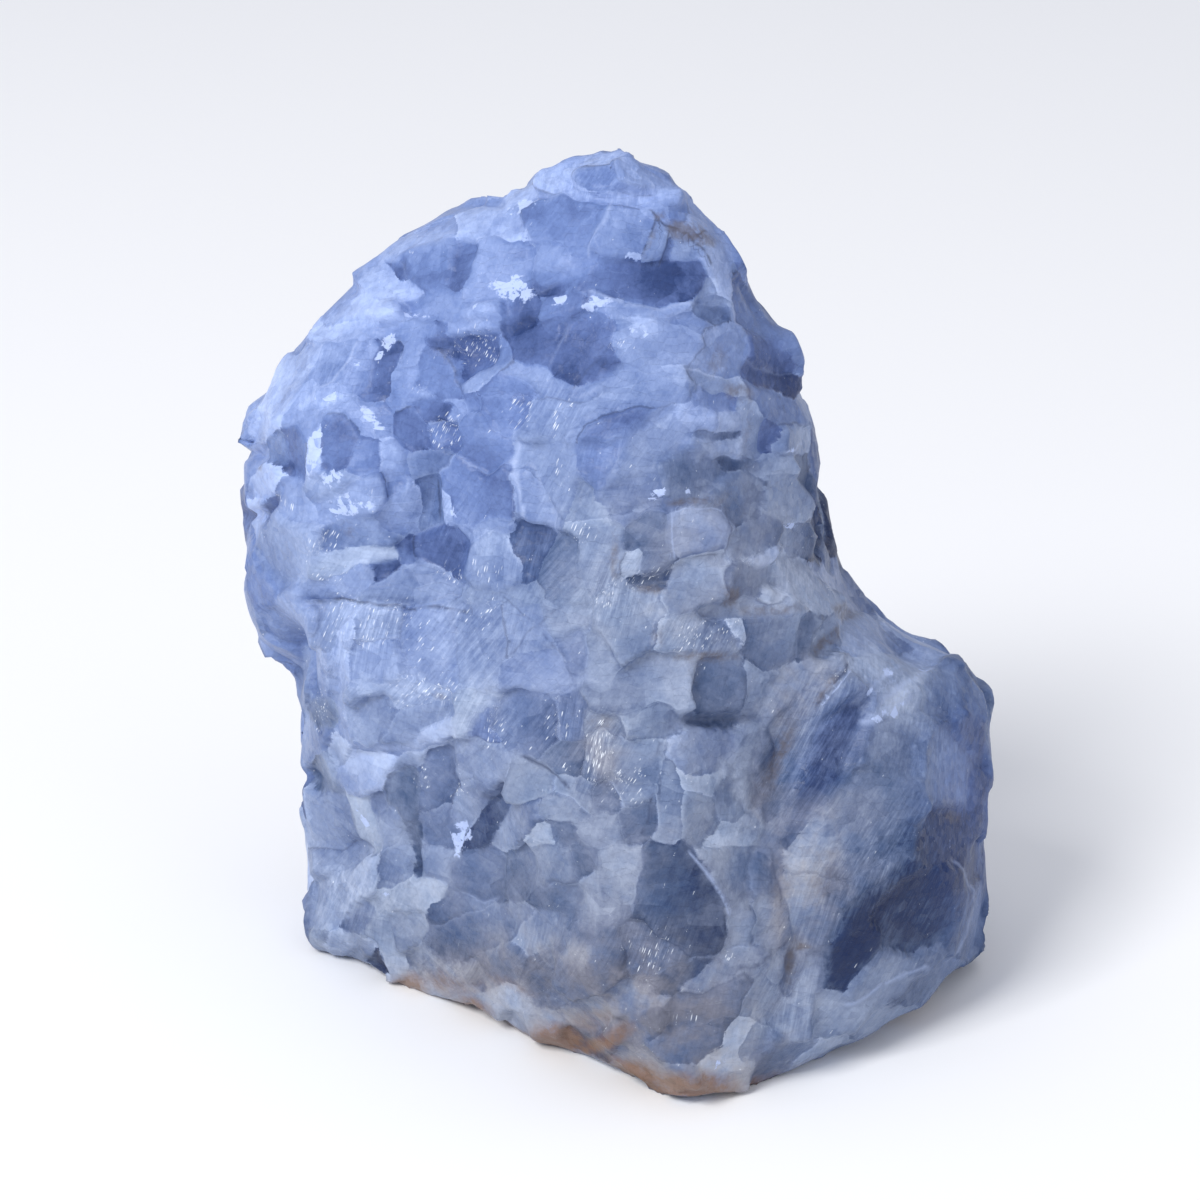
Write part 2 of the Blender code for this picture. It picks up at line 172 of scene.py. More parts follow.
# Every grain seen on the front, part by part: its tone, how proud it stands in millimetres, and its corners
# in picture pixels.
GRAINS = {
    "peak": [
        ("pale", 0.0, "555,168 600,152 640,150 612,158 585,172 560,180"),
        ("sky", 0.0, "612,158 640,151 664,172 676,190 640,188 618,184"),
        ("blue", -0.1, "580,173 612,160 618,184 640,188 590,190 575,184"),
        ("pale", 0.1, "530,182 560,170 576,184 590,190 676,190 684,205 640,208 600,203 560,192 540,192"),
        ("pale", 0.0, "500,197 530,182 545,192 560,192 520,212 505,212"),
        ("blue", 0.2, "520,212 560,192 600,203 614,205 590,255 575,255 560,240 530,235"),
        ("lilac", 0.3, "600,212 614,203 640,210 652,218 640,256 620,256 590,248"),
        ("haze", 0.4, "658,220 668,229 661,262 640,260"),
        ("pearl", 0.0, "621,252 641,247 640,261 628,257"),
        ("blue", 0.0, "667,204 683,203 686,218 670,221"),
        ("lilac", 0.2, "684,205 700,210 716,226 717,240 700,238 688,228"),
        ("sky", 0.0, "640,208 667,204 668,222 655,220 645,214"),
        ("deep", -0.3, "664,238 674,243 669,263 661,261"),
        ("haze", 0.0, "670,222 690,230 700,240 695,262 672,262 675,243"),
        ("pearl", 0.2, "700,240 718,238 731,262 741,290 744,303 716,296 703,270 697,258"),
        ("dusk", 0.3, "732,264 742,270 744,290 739,293"),
    ],
    "lens slab": [
        ("deep", -0.5, "572,291 588,269 606,260 640,258 697,262 705,276 700,292 682,303 650,305 "
                       "618,298 595,292"),
        ("lilac", 0.1, "592,290 625,300 662,307 692,302 690,312 660,318 625,310 600,300"),
        ("haze", 0.0, "702,272 716,296 744,303 730,306 694,303 702,290"),
        ("dusk", -0.2, "690,305 727,304 728,318 712,326 696,318"),
        ("pearl", 0.0, "727,304 752,303 778,322 772,326 745,322 728,318"),
    ],
    "upper left": [
        ("pale", 0.0, "380,268 405,235 440,210 453,212 458,237 420,247 392,262"),
        ("pale", 0.1, "452,211 478,202 500,207 500,232 480,241 458,240"),
        ("pale", 0.0, "478,202 500,196 506,212 520,212 530,235 512,246 498,234 500,207"),
        ("blue", 0.0, "402,253 440,240 457,240 452,264 446,286 418,288 400,270"),
        ("deep", -0.4, "457,241 480,246 471,270 456,288 446,286 452,264"),
        ("deep", -0.3, "388,262 404,260 408,275 393,275"),
        ("lilac", 0.0, "480,242 512,240 535,248 532,272 500,300 468,304 474,272"),
        ("sky", 0.3, "532,246 548,242 565,248 568,266 545,272 534,270"),
        ("pale", 0.0, "350,277 380,262 390,264 395,277 418,289 410,300 372,300"),
        ("pale", 0.0, "334,302 350,277 372,300 395,302 400,318 368,316 330,325"),
        ("sky", 0.0, "400,300 446,287 470,304 500,300 503,318 443,322 436,318 410,316"),
        ("ink", -0.4, "433,320 447,321 445,334 436,335"),
        ("pale", 0.1, "446,322 503,318 499,333 450,336 446,334"),
        ("ink", -0.3, "424,337 450,337 458,362 440,352"),
        ("deep", -1.8, "451,336 499,332 494,352 478,370 462,382 457,362"),
        ("lilac", 0.0, "499,334 506,345 512,364 500,368 482,388 466,392 462,382 478,370 494,352"),
        ("blue", 0.2, "425,347 440,352 458,364 466,392 462,400 440,399 414,386 418,360"),
        ("deep", -0.3, "503,302 530,298 543,306 536,322 525,318 505,322"),
        ("ink", -0.6, "504,322 525,317 536,322 523,332 512,342 505,334"),
        ("steel", -0.3, "540,287 534,272 566,270 568,281"),
        ("ink", -0.9, "540,288 568,281 560,296 546,297"),
        ("blue", 0.0, "566,262 590,255 597,264 574,290 582,300 556,318 536,322 543,306 546,297 560,296 "
                      "570,280"),
        ("deep", 0.0, "512,343 523,332 560,320 556,340 548,368 522,366 513,352"),
        ("deep", 0.0, "560,342 574,330 602,312 618,330 612,346 575,386 552,376 548,366"),
        ("ink", 0.1, "612,346 619,362 604,380 575,386 592,366"),
        ("lilac", 0.1, "512,364 548,368 575,386 610,380 600,395 570,402 540,395 500,372"),
    ],
    "left shoulder": [
        ("pale", 0.0, "330,326 368,318 380,335 362,340 318,343 322,332"),
        ("lilac", 0.2, "318,343 358,340 363,352 342,376 325,384 317,366"),
        ("pale", 0.2, "272,363 300,352 317,345 317,368 300,396 288,416 262,412 262,398"),
        ("pale", 0.0, "262,412 288,416 284,430 262,458 246,440 248,428"),
        ("sky", 0.0, "342,376 363,352 366,340 375,345 370,362 364,386 345,388"),
        ("deep", -0.4, "370,362 380,342 400,336 401,348 394,372 388,396 366,399"),
        ("sky", 0.0, "380,335 400,318 433,320 436,335 424,338 424,348 418,360 401,372 401,346"),
        ("sky", 0.0, "394,372 414,362 416,386 440,399 412,404 388,398"),
        ("pale", 0.1, "318,388 342,384 346,405 325,412 312,402"),
        ("sky", 0.0, "288,416 300,396 318,388 312,402 325,412 322,425 310,445 300,425 286,428"),
        ("deep", -0.2, "286,428 300,425 312,446 308,470 298,482 290,462"),
        ("steel", 0.0, "262,432 284,430 290,460 275,462 262,458"),
        ("pale", 0.3, "243,492 256,464 276,462 284,478 278,490 250,505"),
    ],
    "left knob": [
        ("deep", -0.1, "325,418 346,416 358,440 350,462 338,474 325,470 321,445"),
        ("pale", 0.4, "308,445 322,425 326,445 326,470 316,476 308,466"),
        ("sky", 0.4, "325,412 346,405 380,405 396,436 380,441 364,430 350,416"),
        ("blue", 0.1, "352,462 362,442 380,440 382,466 366,478 350,474"),
        ("sky", 0.4, "382,440 398,436 406,462 410,482 390,492 382,468"),
        ("sky", 0.3, "312,505 340,492 360,478 382,476 388,492 374,514 345,522 318,518"),
        ("sky", 0.2, "374,516 392,496 410,480 420,490 419,527 400,536 384,528"),
        ("lilac", 0.0, "316,476 326,470 340,474 350,474 360,478 340,492 312,505 305,490"),
    ],
    "left edge": [
        ("sky", 0.1, "278,490 298,480 305,490 312,505 312,518 290,522 276,508"),
        ("deep", -0.6, "256,516 268,500 279,497 276,508 264,524"),
        ("pale", 0.0, "243,500 256,496 268,500 256,516 250,530 242,520"),
        ("lilac", 0.1, "256,530 276,510 300,523 325,530 322,550 305,580 280,590 262,570"),
        ("blue", 0.0, "246,560 262,572 280,592 270,612 250,605"),
        ("steel", 0.0, "325,530 345,520 374,516 384,528 400,537 384,545 345,548 322,552"),
        ("mist", 0.1, "322,553 345,549 384,546 400,548 402,560 378,561 350,568 326,580 315,572"),
        ("ink", -1.2, "371,566 380,561 401,559 398,571 380,584 373,580"),
        ("deep", -0.4, "396,545 406,543 411,562 402,562"),
        ("sky", 0.0, "300,585 326,580 350,568 372,566 372,582 352,602 330,600 305,600"),
        ("sky", 0.1, "262,612 280,592 304,585 305,602 318,615 312,645 296,655 262,636"),
        ("pearl", -0.3, "305,602 330,602 358,606 342,625 330,650 312,645 318,618"),
        ("lilac", 0.0, "372,584 398,572 412,570 430,590 405,604 355,602"),
    ],
    "middle left": [
        ("deep", -0.3, "400,420 412,405 422,420 428,446 405,446 396,435"),
        ("deep", -0.3, "412,404 436,394 452,407 446,420 425,421"),
        ("blue", -1.0, "428,421 456,424 458,446 440,449 428,446"),
        ("steel", -0.3, "410,455 444,449 446,466 430,476 414,474 406,462"),
        ("steel", -0.9, "418,480 434,478 436,522 421,527"),
        ("pale", 0.0, "443,496 450,496 454,524 446,520"),
        ("blue", 0.3, "440,470 462,460 486,475 505,465 512,480 518,512 497,516 470,530 452,526 448,496"),
        ("sky", 0.0, "440,399 462,400 470,415 462,424 446,420 452,408"),
        ("blue", -0.3, "465,395 480,398 479,413 468,412"),
        ("blue", 0.0, "482,388 500,370 530,378 545,394 530,396 482,394"),
        ("blue", -0.1, "480,396 530,396 528,416 512,436 495,432 484,412"),
        ("blue", 0.1, "458,424 470,414 484,412 495,432 505,440 507,462 486,474 462,458"),
        ("lilac", 0.0, "528,416 548,396 585,404 562,440 545,446 528,440 514,436"),
        ("dusk", -0.3, "532,432 546,428 549,441 536,444"),
        ("deep", -0.3, "420,545 440,531 456,535 462,560 448,572 426,562"),
        ("deep", -0.2, "456,533 470,545 468,574 460,585 450,575 462,560"),
        ("sky", 0.0, "452,526 470,530 480,520 497,516 512,528 500,532 480,534 470,543 456,533"),
        ("lilac", 0.5, "472,542 487,532 506,533 516,550 526,566 521,582 500,591 478,586 468,572"),
        ("storm", -0.6, "512,536 522,520 540,524 546,545 536,572 523,583 527,564 516,550"),
        ("sky", 0.0, "512,480 528,470 545,490 560,516 540,524 522,520 515,505"),
        ("lilac", 0.1, "514,446 545,446 562,440 580,450 582,482 572,512 560,518 545,490 524,470 516,460"),
        ("lilac", 0.0, "408,572 426,562 450,574 462,586 440,604 412,604"),
        ("haze", 0.0, "478,587 500,592 522,584 545,590 530,605 500,603 470,603 462,588"),
    ],
    "middle face": [
        ("deep", 0.1, "583,425 602,416 642,407 654,412 640,426 604,440 586,441"),
        ("blue", 0.1, "580,450 602,440 624,440 616,460 606,486 590,482 580,466"),
        ("lilac", 0.0, "585,404 620,385 690,382 676,398 642,407 602,416 583,425 575,440 566,436"),
        ("lilac", 0.1, "604,440 640,426 654,412 672,412 690,432 672,455 652,460 628,480 606,486 "
                       "616,460 624,440"),
        ("steel", 0.0, "606,486 628,480 655,476 660,492 650,505 612,516 596,500"),
        ("steel", -0.2, "612,516 650,505 668,500 690,503 672,512 640,512 625,526"),
        ("haze", 0.2, "572,512 582,482 596,500 612,516 600,520 578,521"),
        ("lilac", 0.0, "618,330 622,320 648,316 690,330 702,346 690,360 650,372 619,362 612,346"),
        ("milk", 0.1, "624,324 648,322 652,340 632,344"),
        ("lilac", 0.0, "619,364 650,372 682,366 690,382 640,385 605,392 604,380"),
        ("lilac", 0.0, "602,312 622,312 660,318 690,312 712,326 690,330 648,316 620,322"),
        ("lilac", -0.1, "702,345 712,326 745,323 745,360 735,378 716,378 690,366"),
        ("haze", 0.1, "682,368 716,378 735,378 742,392 712,392 690,382"),
        ("deep", 0.0, "745,324 775,323 792,346 798,372 780,376 748,360"),
        ("ink", -0.1, "748,362 780,376 800,372 803,392 795,398 770,388 745,378"),
    ],
    "right cluster": [
        ("blue", 0.0, "700,392 722,394 736,406 720,413 706,410"),
        ("pale", 0.3, "672,412 712,411 716,431 692,431 676,426"),
        ("pearl", 0.3, "717,413 740,411 741,431 717,431"),
        ("slate", -0.6, "695,433 741,432 736,439 702,441"),
        ("pearl", 0.2, "690,441 745,440 743,457 716,457 700,452"),
        ("haze", -0.1, "738,406 752,398 762,425 758,455 745,456 742,430"),
        ("steel", 0.1, "742,385 770,390 795,400 815,408 813,421 798,424 778,430 764,412 752,398"),
        ("deep", -0.5, "760,424 772,418 781,432 770,448 760,446"),
        ("haze", 0.2, "781,430 798,424 812,422 811,442 800,452 780,452 772,446"),
        ("slate", -0.5, "720,458 745,457 757,465 725,466"),
        ("dusk", 0.1, "660,466 672,456 700,457 724,463 722,486 705,499 680,501 662,492"),
        ("lilac", 0.5, "669,511 678,507 722,512 728,532 716,551 676,555 667,536"),
        ("dusk", 0.0, "625,526 645,512 667,512 666,545 646,556 628,546"),
        ("haze", 0.0, "578,522 600,519 622,521 622,558 612,585 586,592 574,562"),
        ("dusk", -0.1, "546,560 560,545 576,540 574,562 584,592 560,605 548,590"),
        ("mist", 0.2, "622,560 636,546 644,558 640,576 626,577"),
        ("dusk", 0.1, "643,548 666,552 673,560 660,574 644,578 641,562"),
        ("slate", -0.8, "628,577 650,579 672,568 668,584 646,592 630,589"),
        ("haze", 0.2, "670,570 690,560 719,554 722,580 718,601 700,606 680,612 664,596"),
        ("dusk", -0.1, "698,502 724,479 746,471 762,476 766,496 756,516 735,521 712,509"),
        ("haze", 0.2, "748,466 776,456 797,464 800,472 776,474 762,476"),
        ("haze", 0.3, "768,476 792,474 808,490 812,506 800,521 776,521 764,500"),
        ("slate", -0.3, "766,484 780,481 789,492 776,499"),
        ("slate", -0.4, "797,456 806,460 814,490 808,490 798,468"),
        ("dusk", 0.1, "732,538 755,523 776,522 786,531 762,550 742,556 732,550"),
        ("pearl", 0.3, "748,562 766,551 784,549 776,562 756,570"),
        ("dusk", 0.1, "784,530 802,522 815,536 812,558 800,557 786,542"),
        ("night", -1.0, "814,534 822,545 822,562 811,560"),
        ("night", 0.2, "814,496 830,502 832,552 822,546 814,530"),
        ("haze", 0.2, "784,550 800,558 830,585 846,600 822,611 797,601 786,582 776,565"),
        ("steel", 0.1, "812,560 850,570 870,592 880,604 860,606 846,600 830,585"),
        ("dusk", -0.2, "722,574 748,566 776,568 784,582 760,592 730,592"),
        ("mist", 0.3, "762,586 778,582 776,600 765,606"),
        ("haze", 0.0, "700,608 740,603 800,604 797,616 765,614 740,619 705,616"),
    ],
    "ledge": [
        ("haze", 0.2, "664,626 700,616 724,621 742,641 735,651 690,654 664,645"),
        ("mist", 0.4, "724,622 742,618 745,640 738,645"),
        ("dusk", 0.2, "742,620 765,615 800,617 798,650 790,668 765,672 745,656"),
        ("slate", 0.0, "800,617 822,620 816,642 806,660 796,666"),
        ("steel", 0.3, "840,622 868,612 903,620 920,632 900,648 850,656 842,642"),
        ("dusk", -0.9, "816,642 824,620 842,622 842,640 832,655 815,657"),
        ("lilac", 0.0, "880,606 905,620 938,650 920,652 905,645 918,632"),
    ],
    "lower middle": [
        ("haze", 0.2, "600,592 622,580 655,592 656,606 650,625 636,648 620,666 612,646 602,630 604,612"),
        ("haze", 0.2, "588,640 602,630 612,646 620,666 604,690 592,680"),
        ("haze", 0.3, "582,692 604,686 640,665 672,655 698,660 690,690 693,706 680,714 655,703 625,712 "
                      "600,713"),
        ("haze", -0.1, "620,716 640,706 672,703 680,714 674,732 650,741 625,736"),
        ("dusk", -0.1, "697,664 742,655 744,690 738,713 702,712 692,700 691,688"),
        ("dusk", -1.6, "684,715 740,713 738,729 712,725 690,721"),
        ("lilac", 0.1, "674,735 702,729 738,731 735,752 700,776 680,776 671,756"),
        ("haze", 0.1, "590,735 602,728 613,736 608,772 590,782 584,760"),
        ("haze", 0.0, "610,738 640,736 662,746 656,772 632,782 610,772"),
        ("dusk", -0.3, "592,790 606,784 622,800 612,812 600,812"),
        ("haze", 0.0, "608,775 632,783 652,790 650,800 636,806 622,800"),
        ("dusk", -0.6, "620,816 636,806 652,800 653,826 645,836 630,846 622,836"),
        ("haze", 0.2, "659,840 662,782 668,761 681,790 683,830 673,844"),
        ("haze", 0.0, "681,795 700,790 716,800 713,836 690,846 683,834"),
        ("haze", -0.2, "716,800 736,785 744,811 736,819 718,816"),
        ("mist", 0.1, "674,768 700,776 718,780 714,797 692,790 680,788"),
        ("haze", 0.0, "740,730 756,722 764,746 752,768 735,770 735,752"),
        ("mist", 0.0, "738,772 752,768 758,790 756,806 746,812 738,788"),
        ("mist", 0.2, "710,842 726,825 746,816 763,810 766,830 750,842 716,846"),
        ("haze", 0.0, "744,660 765,672 790,668 770,690 765,712 756,722 744,712 746,690"),
        ("steel", 0.0, "560,640 580,630 588,650 583,676 566,682"),
        ("haze", 0.0, "548,608 578,612 583,628 565,640 552,630"),
        ("sky", 0.1, "506,665 520,654 556,650 570,660 580,680 560,694 520,688 500,690"),
        ("steel", -0.3, "494,704 520,690 556,698 560,740 540,758 506,746 490,728"),
        ("steel", -0.2, "556,698 578,690 586,715 580,745 560,740"),
        ("dusk", -0.4, "540,757 562,741 581,746 584,760 571,778 550,768"),
        ("haze", 0.0, "585,712 620,716 625,736 602,727 586,738"),
        ("haze", 0.1, "507,790 514,758 536,764 552,786 526,801"),
        ("lilac", 0.0, "500,842 510,812 540,801 546,816 530,836 514,850"),
        ("haze", 0.1, "545,803 566,795 582,810 584,826 560,821 548,812"),
        ("dusk", -0.1, "550,822 572,822 577,846 562,850 550,842"),
        ("mist", 0.3, "528,836 540,822 551,826 554,846 536,850"),
        ("haze", 0.0, "584,828 602,812 616,816 626,840 610,850 586,848"),
        ("haze", -0.2, "552,786 570,778 590,784 594,800 582,810 566,795"),
    ],
    "skirt": [
        ("sky", 0.1, "405,606 456,603 462,640 452,690 420,680 400,652"),
        ("lilac", 0.1, "456,603 502,600 510,640 492,690 462,692 452,642"),
        ("lilac", 0.1, "502,600 530,606 556,650 520,654 508,660 508,636"),
        ("pearl", 0.2, "358,614 376,603 402,611 396,636 362,641"),
        ("sky", 0.1, "352,650 362,642 396,640 401,658 396,680 362,682"),
        ("pale", 0.3, "340,640 356,612 360,618 350,650 344,690 342,720 352,742 340,738 335,712 336,680"),
        ("lilac", 0.0, "350,706 384,694 395,705 390,722 370,746 356,738"),
        ("pearl", 0.1, "362,682 396,680 420,680 445,690 445,700 395,706 384,694 350,704 348,690"),
        ("lilac", -0.3, "386,742 395,722 420,708 448,698 453,713 430,724 402,744"),
        ("pale", 0.2, "352,744 370,746 402,744 448,722 456,734 440,742 396,756 362,754"),
        ("pale", 0.2, "340,766 352,752 396,756 390,776 375,791 352,796"),
        ("dusk", -0.3, "310,698 326,698 334,720 322,728 309,722"),
        ("sky", 0.0, "299,660 318,650 334,652 335,690 326,698 306,700 300,690"),
        ("sky", 0.1, "303,725 320,728 330,745 316,756 300,770 299,748"),
        ("dusk", -0.2, "300,771 316,756 327,749 341,775 338,786 320,794 304,781"),
        ("lilac", 0.0, "297,790 330,796 346,790 353,815 358,836 340,850 312,846 300,812"),
        ("mist", 0.2, "347,790 366,800 373,825 383,846 375,852 360,836 351,812"),
        ("steel", -0.9, "367,800 379,795 381,809 377,819 370,813"),
        ("dusk", -0.1, "387,776 402,768 420,775 419,800 405,822 390,800"),
        ("steel", 0.0, "420,770 430,750 446,745 454,770 448,800 425,812"),
        ("lilac", 0.1, "452,744 478,740 502,742 514,760 506,782 476,778 455,770"),
        ("blue", -0.1, "468,735 478,714 492,704 491,728 506,746 502,742"),
        ("lilac", 0.1, "457,812 465,790 478,779 502,783 491,800 476,826 460,832"),
        ("storm", -0.5, "491,790 504,784 500,802 486,826 472,840 467,832"),
        ("steel", 0.0, "425,814 446,804 454,832 448,852 425,850"),
        ("lilac", 0.0, "380,816 395,804 406,824 398,846 385,848"),
        ("mist", 0.0, "453,692 490,690 494,702 478,714 468,735 456,734 453,713 448,698"),
        ("pearl", 0.1, "330,745 340,738 352,744 352,752 341,768 334,756"),
        ("pearl", 0.0, "396,757 440,743 446,746 430,750 420,770 402,767 390,776"),
    ],
    "foot": [
        ("lilac", 0.0, "313,848 340,850 358,838 368,850 345,872 318,872"),
        ("pearl", 0.1, "304,915 314,882 345,872 372,858 386,850 376,880 352,910 326,926 306,928"),
        ("steel", 0.0, "350,920 363,908 377,904 373,925 360,936 350,931"),
        ("haze", 0.0, "305,930 326,921 331,940 326,953 311,949"),
        ("pearl", 0.0, "329,940 346,932 366,938 372,951 352,959 331,953"),
        ("night", -0.4, "350,960 372,954 388,960 392,972 366,970"),
        ("mist", 0.3, "364,935 373,921 386,917 393,945 402,976 393,986 384,962 378,942"),
        ("mist", 0.3, "374,902 384,893 392,898 390,914 378,916"),
        ("mist", 0.2, "386,900 400,885 414,879 438,880 443,896 430,906 415,913 395,912"),
        ("haze", 0.1, "389,920 400,912 420,915 413,941 396,947"),
        ("slate", -0.7, "406,830 418,827 422,860 418,874 410,852"),
        ("lilac", 0.0, "374,862 388,846 406,835 412,860 405,880 386,886"),
        ("lilac", 0.0, "422,842 446,835 453,860 450,880 424,879"),
        ("steel", 0.0, "443,896 455,890 480,901 494,902 470,914 446,920 430,906"),
        ("steel", -0.2, "454,864 476,858 502,862 500,900 480,901 455,890"),
        ("dusk", -0.3, "502,860 525,842 538,871 527,889 500,900"),
        ("steel", 0.1, "430,946 456,916 500,904 532,914 512,940 470,958 436,960"),
        ("haze", 0.1, "410,960 430,946 452,958 480,966 470,980 438,987 412,980"),
        ("steel", 0.1, "472,958 512,940 528,954 516,976 482,986 474,975"),
        ("dusk", 0.0, "527,958 546,945 562,960 556,990 540,1002 528,985"),
        ("mist", 0.1, "398,978 412,980 438,987 470,982 480,1000 460,1008 430,1002 400,992"),
        ("mist", 0.1, "480,1002 500,990 527,994 522,1016 496,1018"),
        ("mist", 0.1, "511,1018 545,1010 562,1022 556,1044 530,1034"),
        ("lilac", 0.0, "532,914 560,915 562,935 552,950 528,954 512,940"),
    ],
    "toe": [
        ("haze", 0.1, "537,868 530,842 552,842 569,850 574,878 546,881"),
        ("dusk", -0.2, "569,846 599,842 601,870 586,879 576,876"),
        ("dusk", -0.2, "540,896 556,885 582,894 586,906 560,913 546,906"),
        ("haze", 0.1, "582,880 598,870 601,896 598,914 588,916"),
        ("haze", 0.1, "601,850 636,846 642,868 637,896 620,916 601,918"),
        ("slate", 0.2, "648,851 660,842 683,844 698,864 727,915 728,934 705,953 684,955 660,935 "
                       "640,912 636,885"),
        ("haze", 0.2, "702,856 722,846 752,850 762,870 756,900 732,906 716,880"),
        ("haze", 0.1, "730,908 756,900 767,920 750,941 731,946 727,930"),
        ("dusk", 1.0, "555,950 566,932 590,927 616,928 626,945 622,970 606,986 580,991 558,976"),
        ("dusk", 0.0, "626,930 641,918 655,936 682,948 692,963 672,968 652,974 632,960"),
        ("slate", -0.4, "654,978 670,966 706,960 701,973 672,986 656,990"),
        ("dusk", 0.0, "540,992 548,972 558,976 572,992 570,1003 550,1006"),
        ("haze", 0.0, "604,1000 626,982 652,984 658,1000 640,1011 614,1016"),
        ("dusk", 0.0, "618,1022 650,1012 667,1020 652,1036 624,1037"),
        ("dusk", 0.1, "666,1020 690,1000 732,978 762,963 757,986 720,1010 690,1031 668,1036"),
        ("haze", 0.2, "690,986 712,965 746,950 764,954 735,976 700,996"),
        ("dusk", 0.0, "650,1042 682,1031 722,1022 722,1046 690,1062 660,1060"),
        ("mist", 0.3, "704,1066 726,1036 746,1024 737,1056 751,1061 722,1082 708,1086"),
        ("haze", -0.2, "741,1050 756,1034 767,1045 752,1061 741,1063"),
        ("haze", 0.0, "562,1005 602,1000 614,1016 590,1030 560,1024"),
        ("slate", 0.0, "558,1040 575,1032 615,1030 624,1040 600,1064 572,1060"),
        ("haze", 0.0, "624,1040 650,1042 660,1060 690,1064 700,1090 670,1100 640,1080 610,1066"),
    ],
    "boss": [
        ("haze", 0.1, "762,684 785,664 812,656 845,660 840,672 805,690 785,712 768,726"),
        ("haze", 0.0, "772,728 788,710 808,690 842,670 866,690 846,700 824,722 806,765 786,800 772,800 "
                      "778,760"),
        ("dusk", -0.3, "756,740 768,728 778,752 772,800 764,800 758,770"),
        ("storm", 0.0, "846,700 866,696 872,715 850,762 815,815 782,850 772,842 786,802 806,765 824,722"),
        ("dusk", 0.1, "768,800 786,802 774,842 776,868 766,850"),
        ("haze", 0.2, "842,662 870,652 925,651 940,660 915,685 872,702 866,690"),
        ("mist", 0.1, "872,702 915,685 935,690 925,712 895,722 872,718"),
        ("dusk", 0.0, "925,668 940,657 957,658 966,682 956,712 935,716 925,705"),
        ("dusk", 0.1, "964,676 976,690 990,702 992,722 976,716 962,702"),
        ("storm", 0.0, "950,726 966,714 988,720 992,745 987,772 976,760 960,736"),
        ("haze", 0.3, "915,745 931,729 950,727 969,748 977,766 968,806 931,806 913,791"),
        ("storm", 0.1, "977,766 987,772 986,812 975,838 960,820 968,806"),
        ("haze", 0.0, "852,765 872,718 895,722 925,712 935,720 915,745 913,778 880,772"),
        ("haze", 0.2, "784,850 815,815 850,768 880,772 913,780 928,808 900,850 850,880 815,880 790,872"),
        ("slate", 0.0, "905,850 930,808 968,808 975,838 955,862 925,866"),
        ("slate", 0.1, "956,862 975,838 987,845 981,880 962,885"),
        ("night", -0.2, "826,965 833,942 869,925 886,933 874,965 846,992 828,985"),
        ("slate", -0.1, "886,933 874,915 905,880 936,864 958,880 956,905 940,931 915,952 892,950"),
        ("slate", 0.0, "850,905 880,885 905,868 925,866 905,880 874,915 855,925"),
        ("haze", 0.1, "838,880 850,880 900,853 905,868 880,885 850,905 838,905"),
        ("haze", 0.2, "846,992 874,965 892,950 915,955 930,948 922,967 895,988 868,1004 850,1006"),
        ("dusk", 0.0, "890,1004 920,977 956,956 966,967 942,988 906,1008"),
        ("dusk", 0.1, "946,932 960,900 978,880 990,895 995,926 976,956 956,961 946,946"),
        ("haze", 0.1, "815,1036 820,1000 846,994 866,1005 851,1031 832,1040"),
        ("haze", 0.0, "850,1036 872,1010 902,1004 918,1012 890,1034 860,1048"),
        ("haze", 0.2, "785,1022 800,986 819,960 824,976 816,1000 804,1036 790,1037"),
        ("haze", 0.0, "765,976 776,960 791,955 791,976 776,986"),
        ("haze", 0.3, "786,880 800,866 820,868 838,880 838,905 834,936 820,951 805,946 792,915"),
        ("night", -0.3, "812,896 820,881 834,876 838,890 826,906"),
        ("haze", 0.0, "746,902 770,895 786,912 785,936 765,946 750,932"),
        ("dusk", 0.0, "742,862 766,855 777,870 771,895 746,896"),
        ("haze", 0.0, "742,972 764,960 766,976 782,990 770,1010 745,1010"),
        ("dusk", 0.0, "756,1050 790,1040 832,1040 816,1056 780,1072 760,1070"),
        ("dusk", -0.6, "786,940 800,945 800,962 790,990 782,990 790,960"),
    ],
}

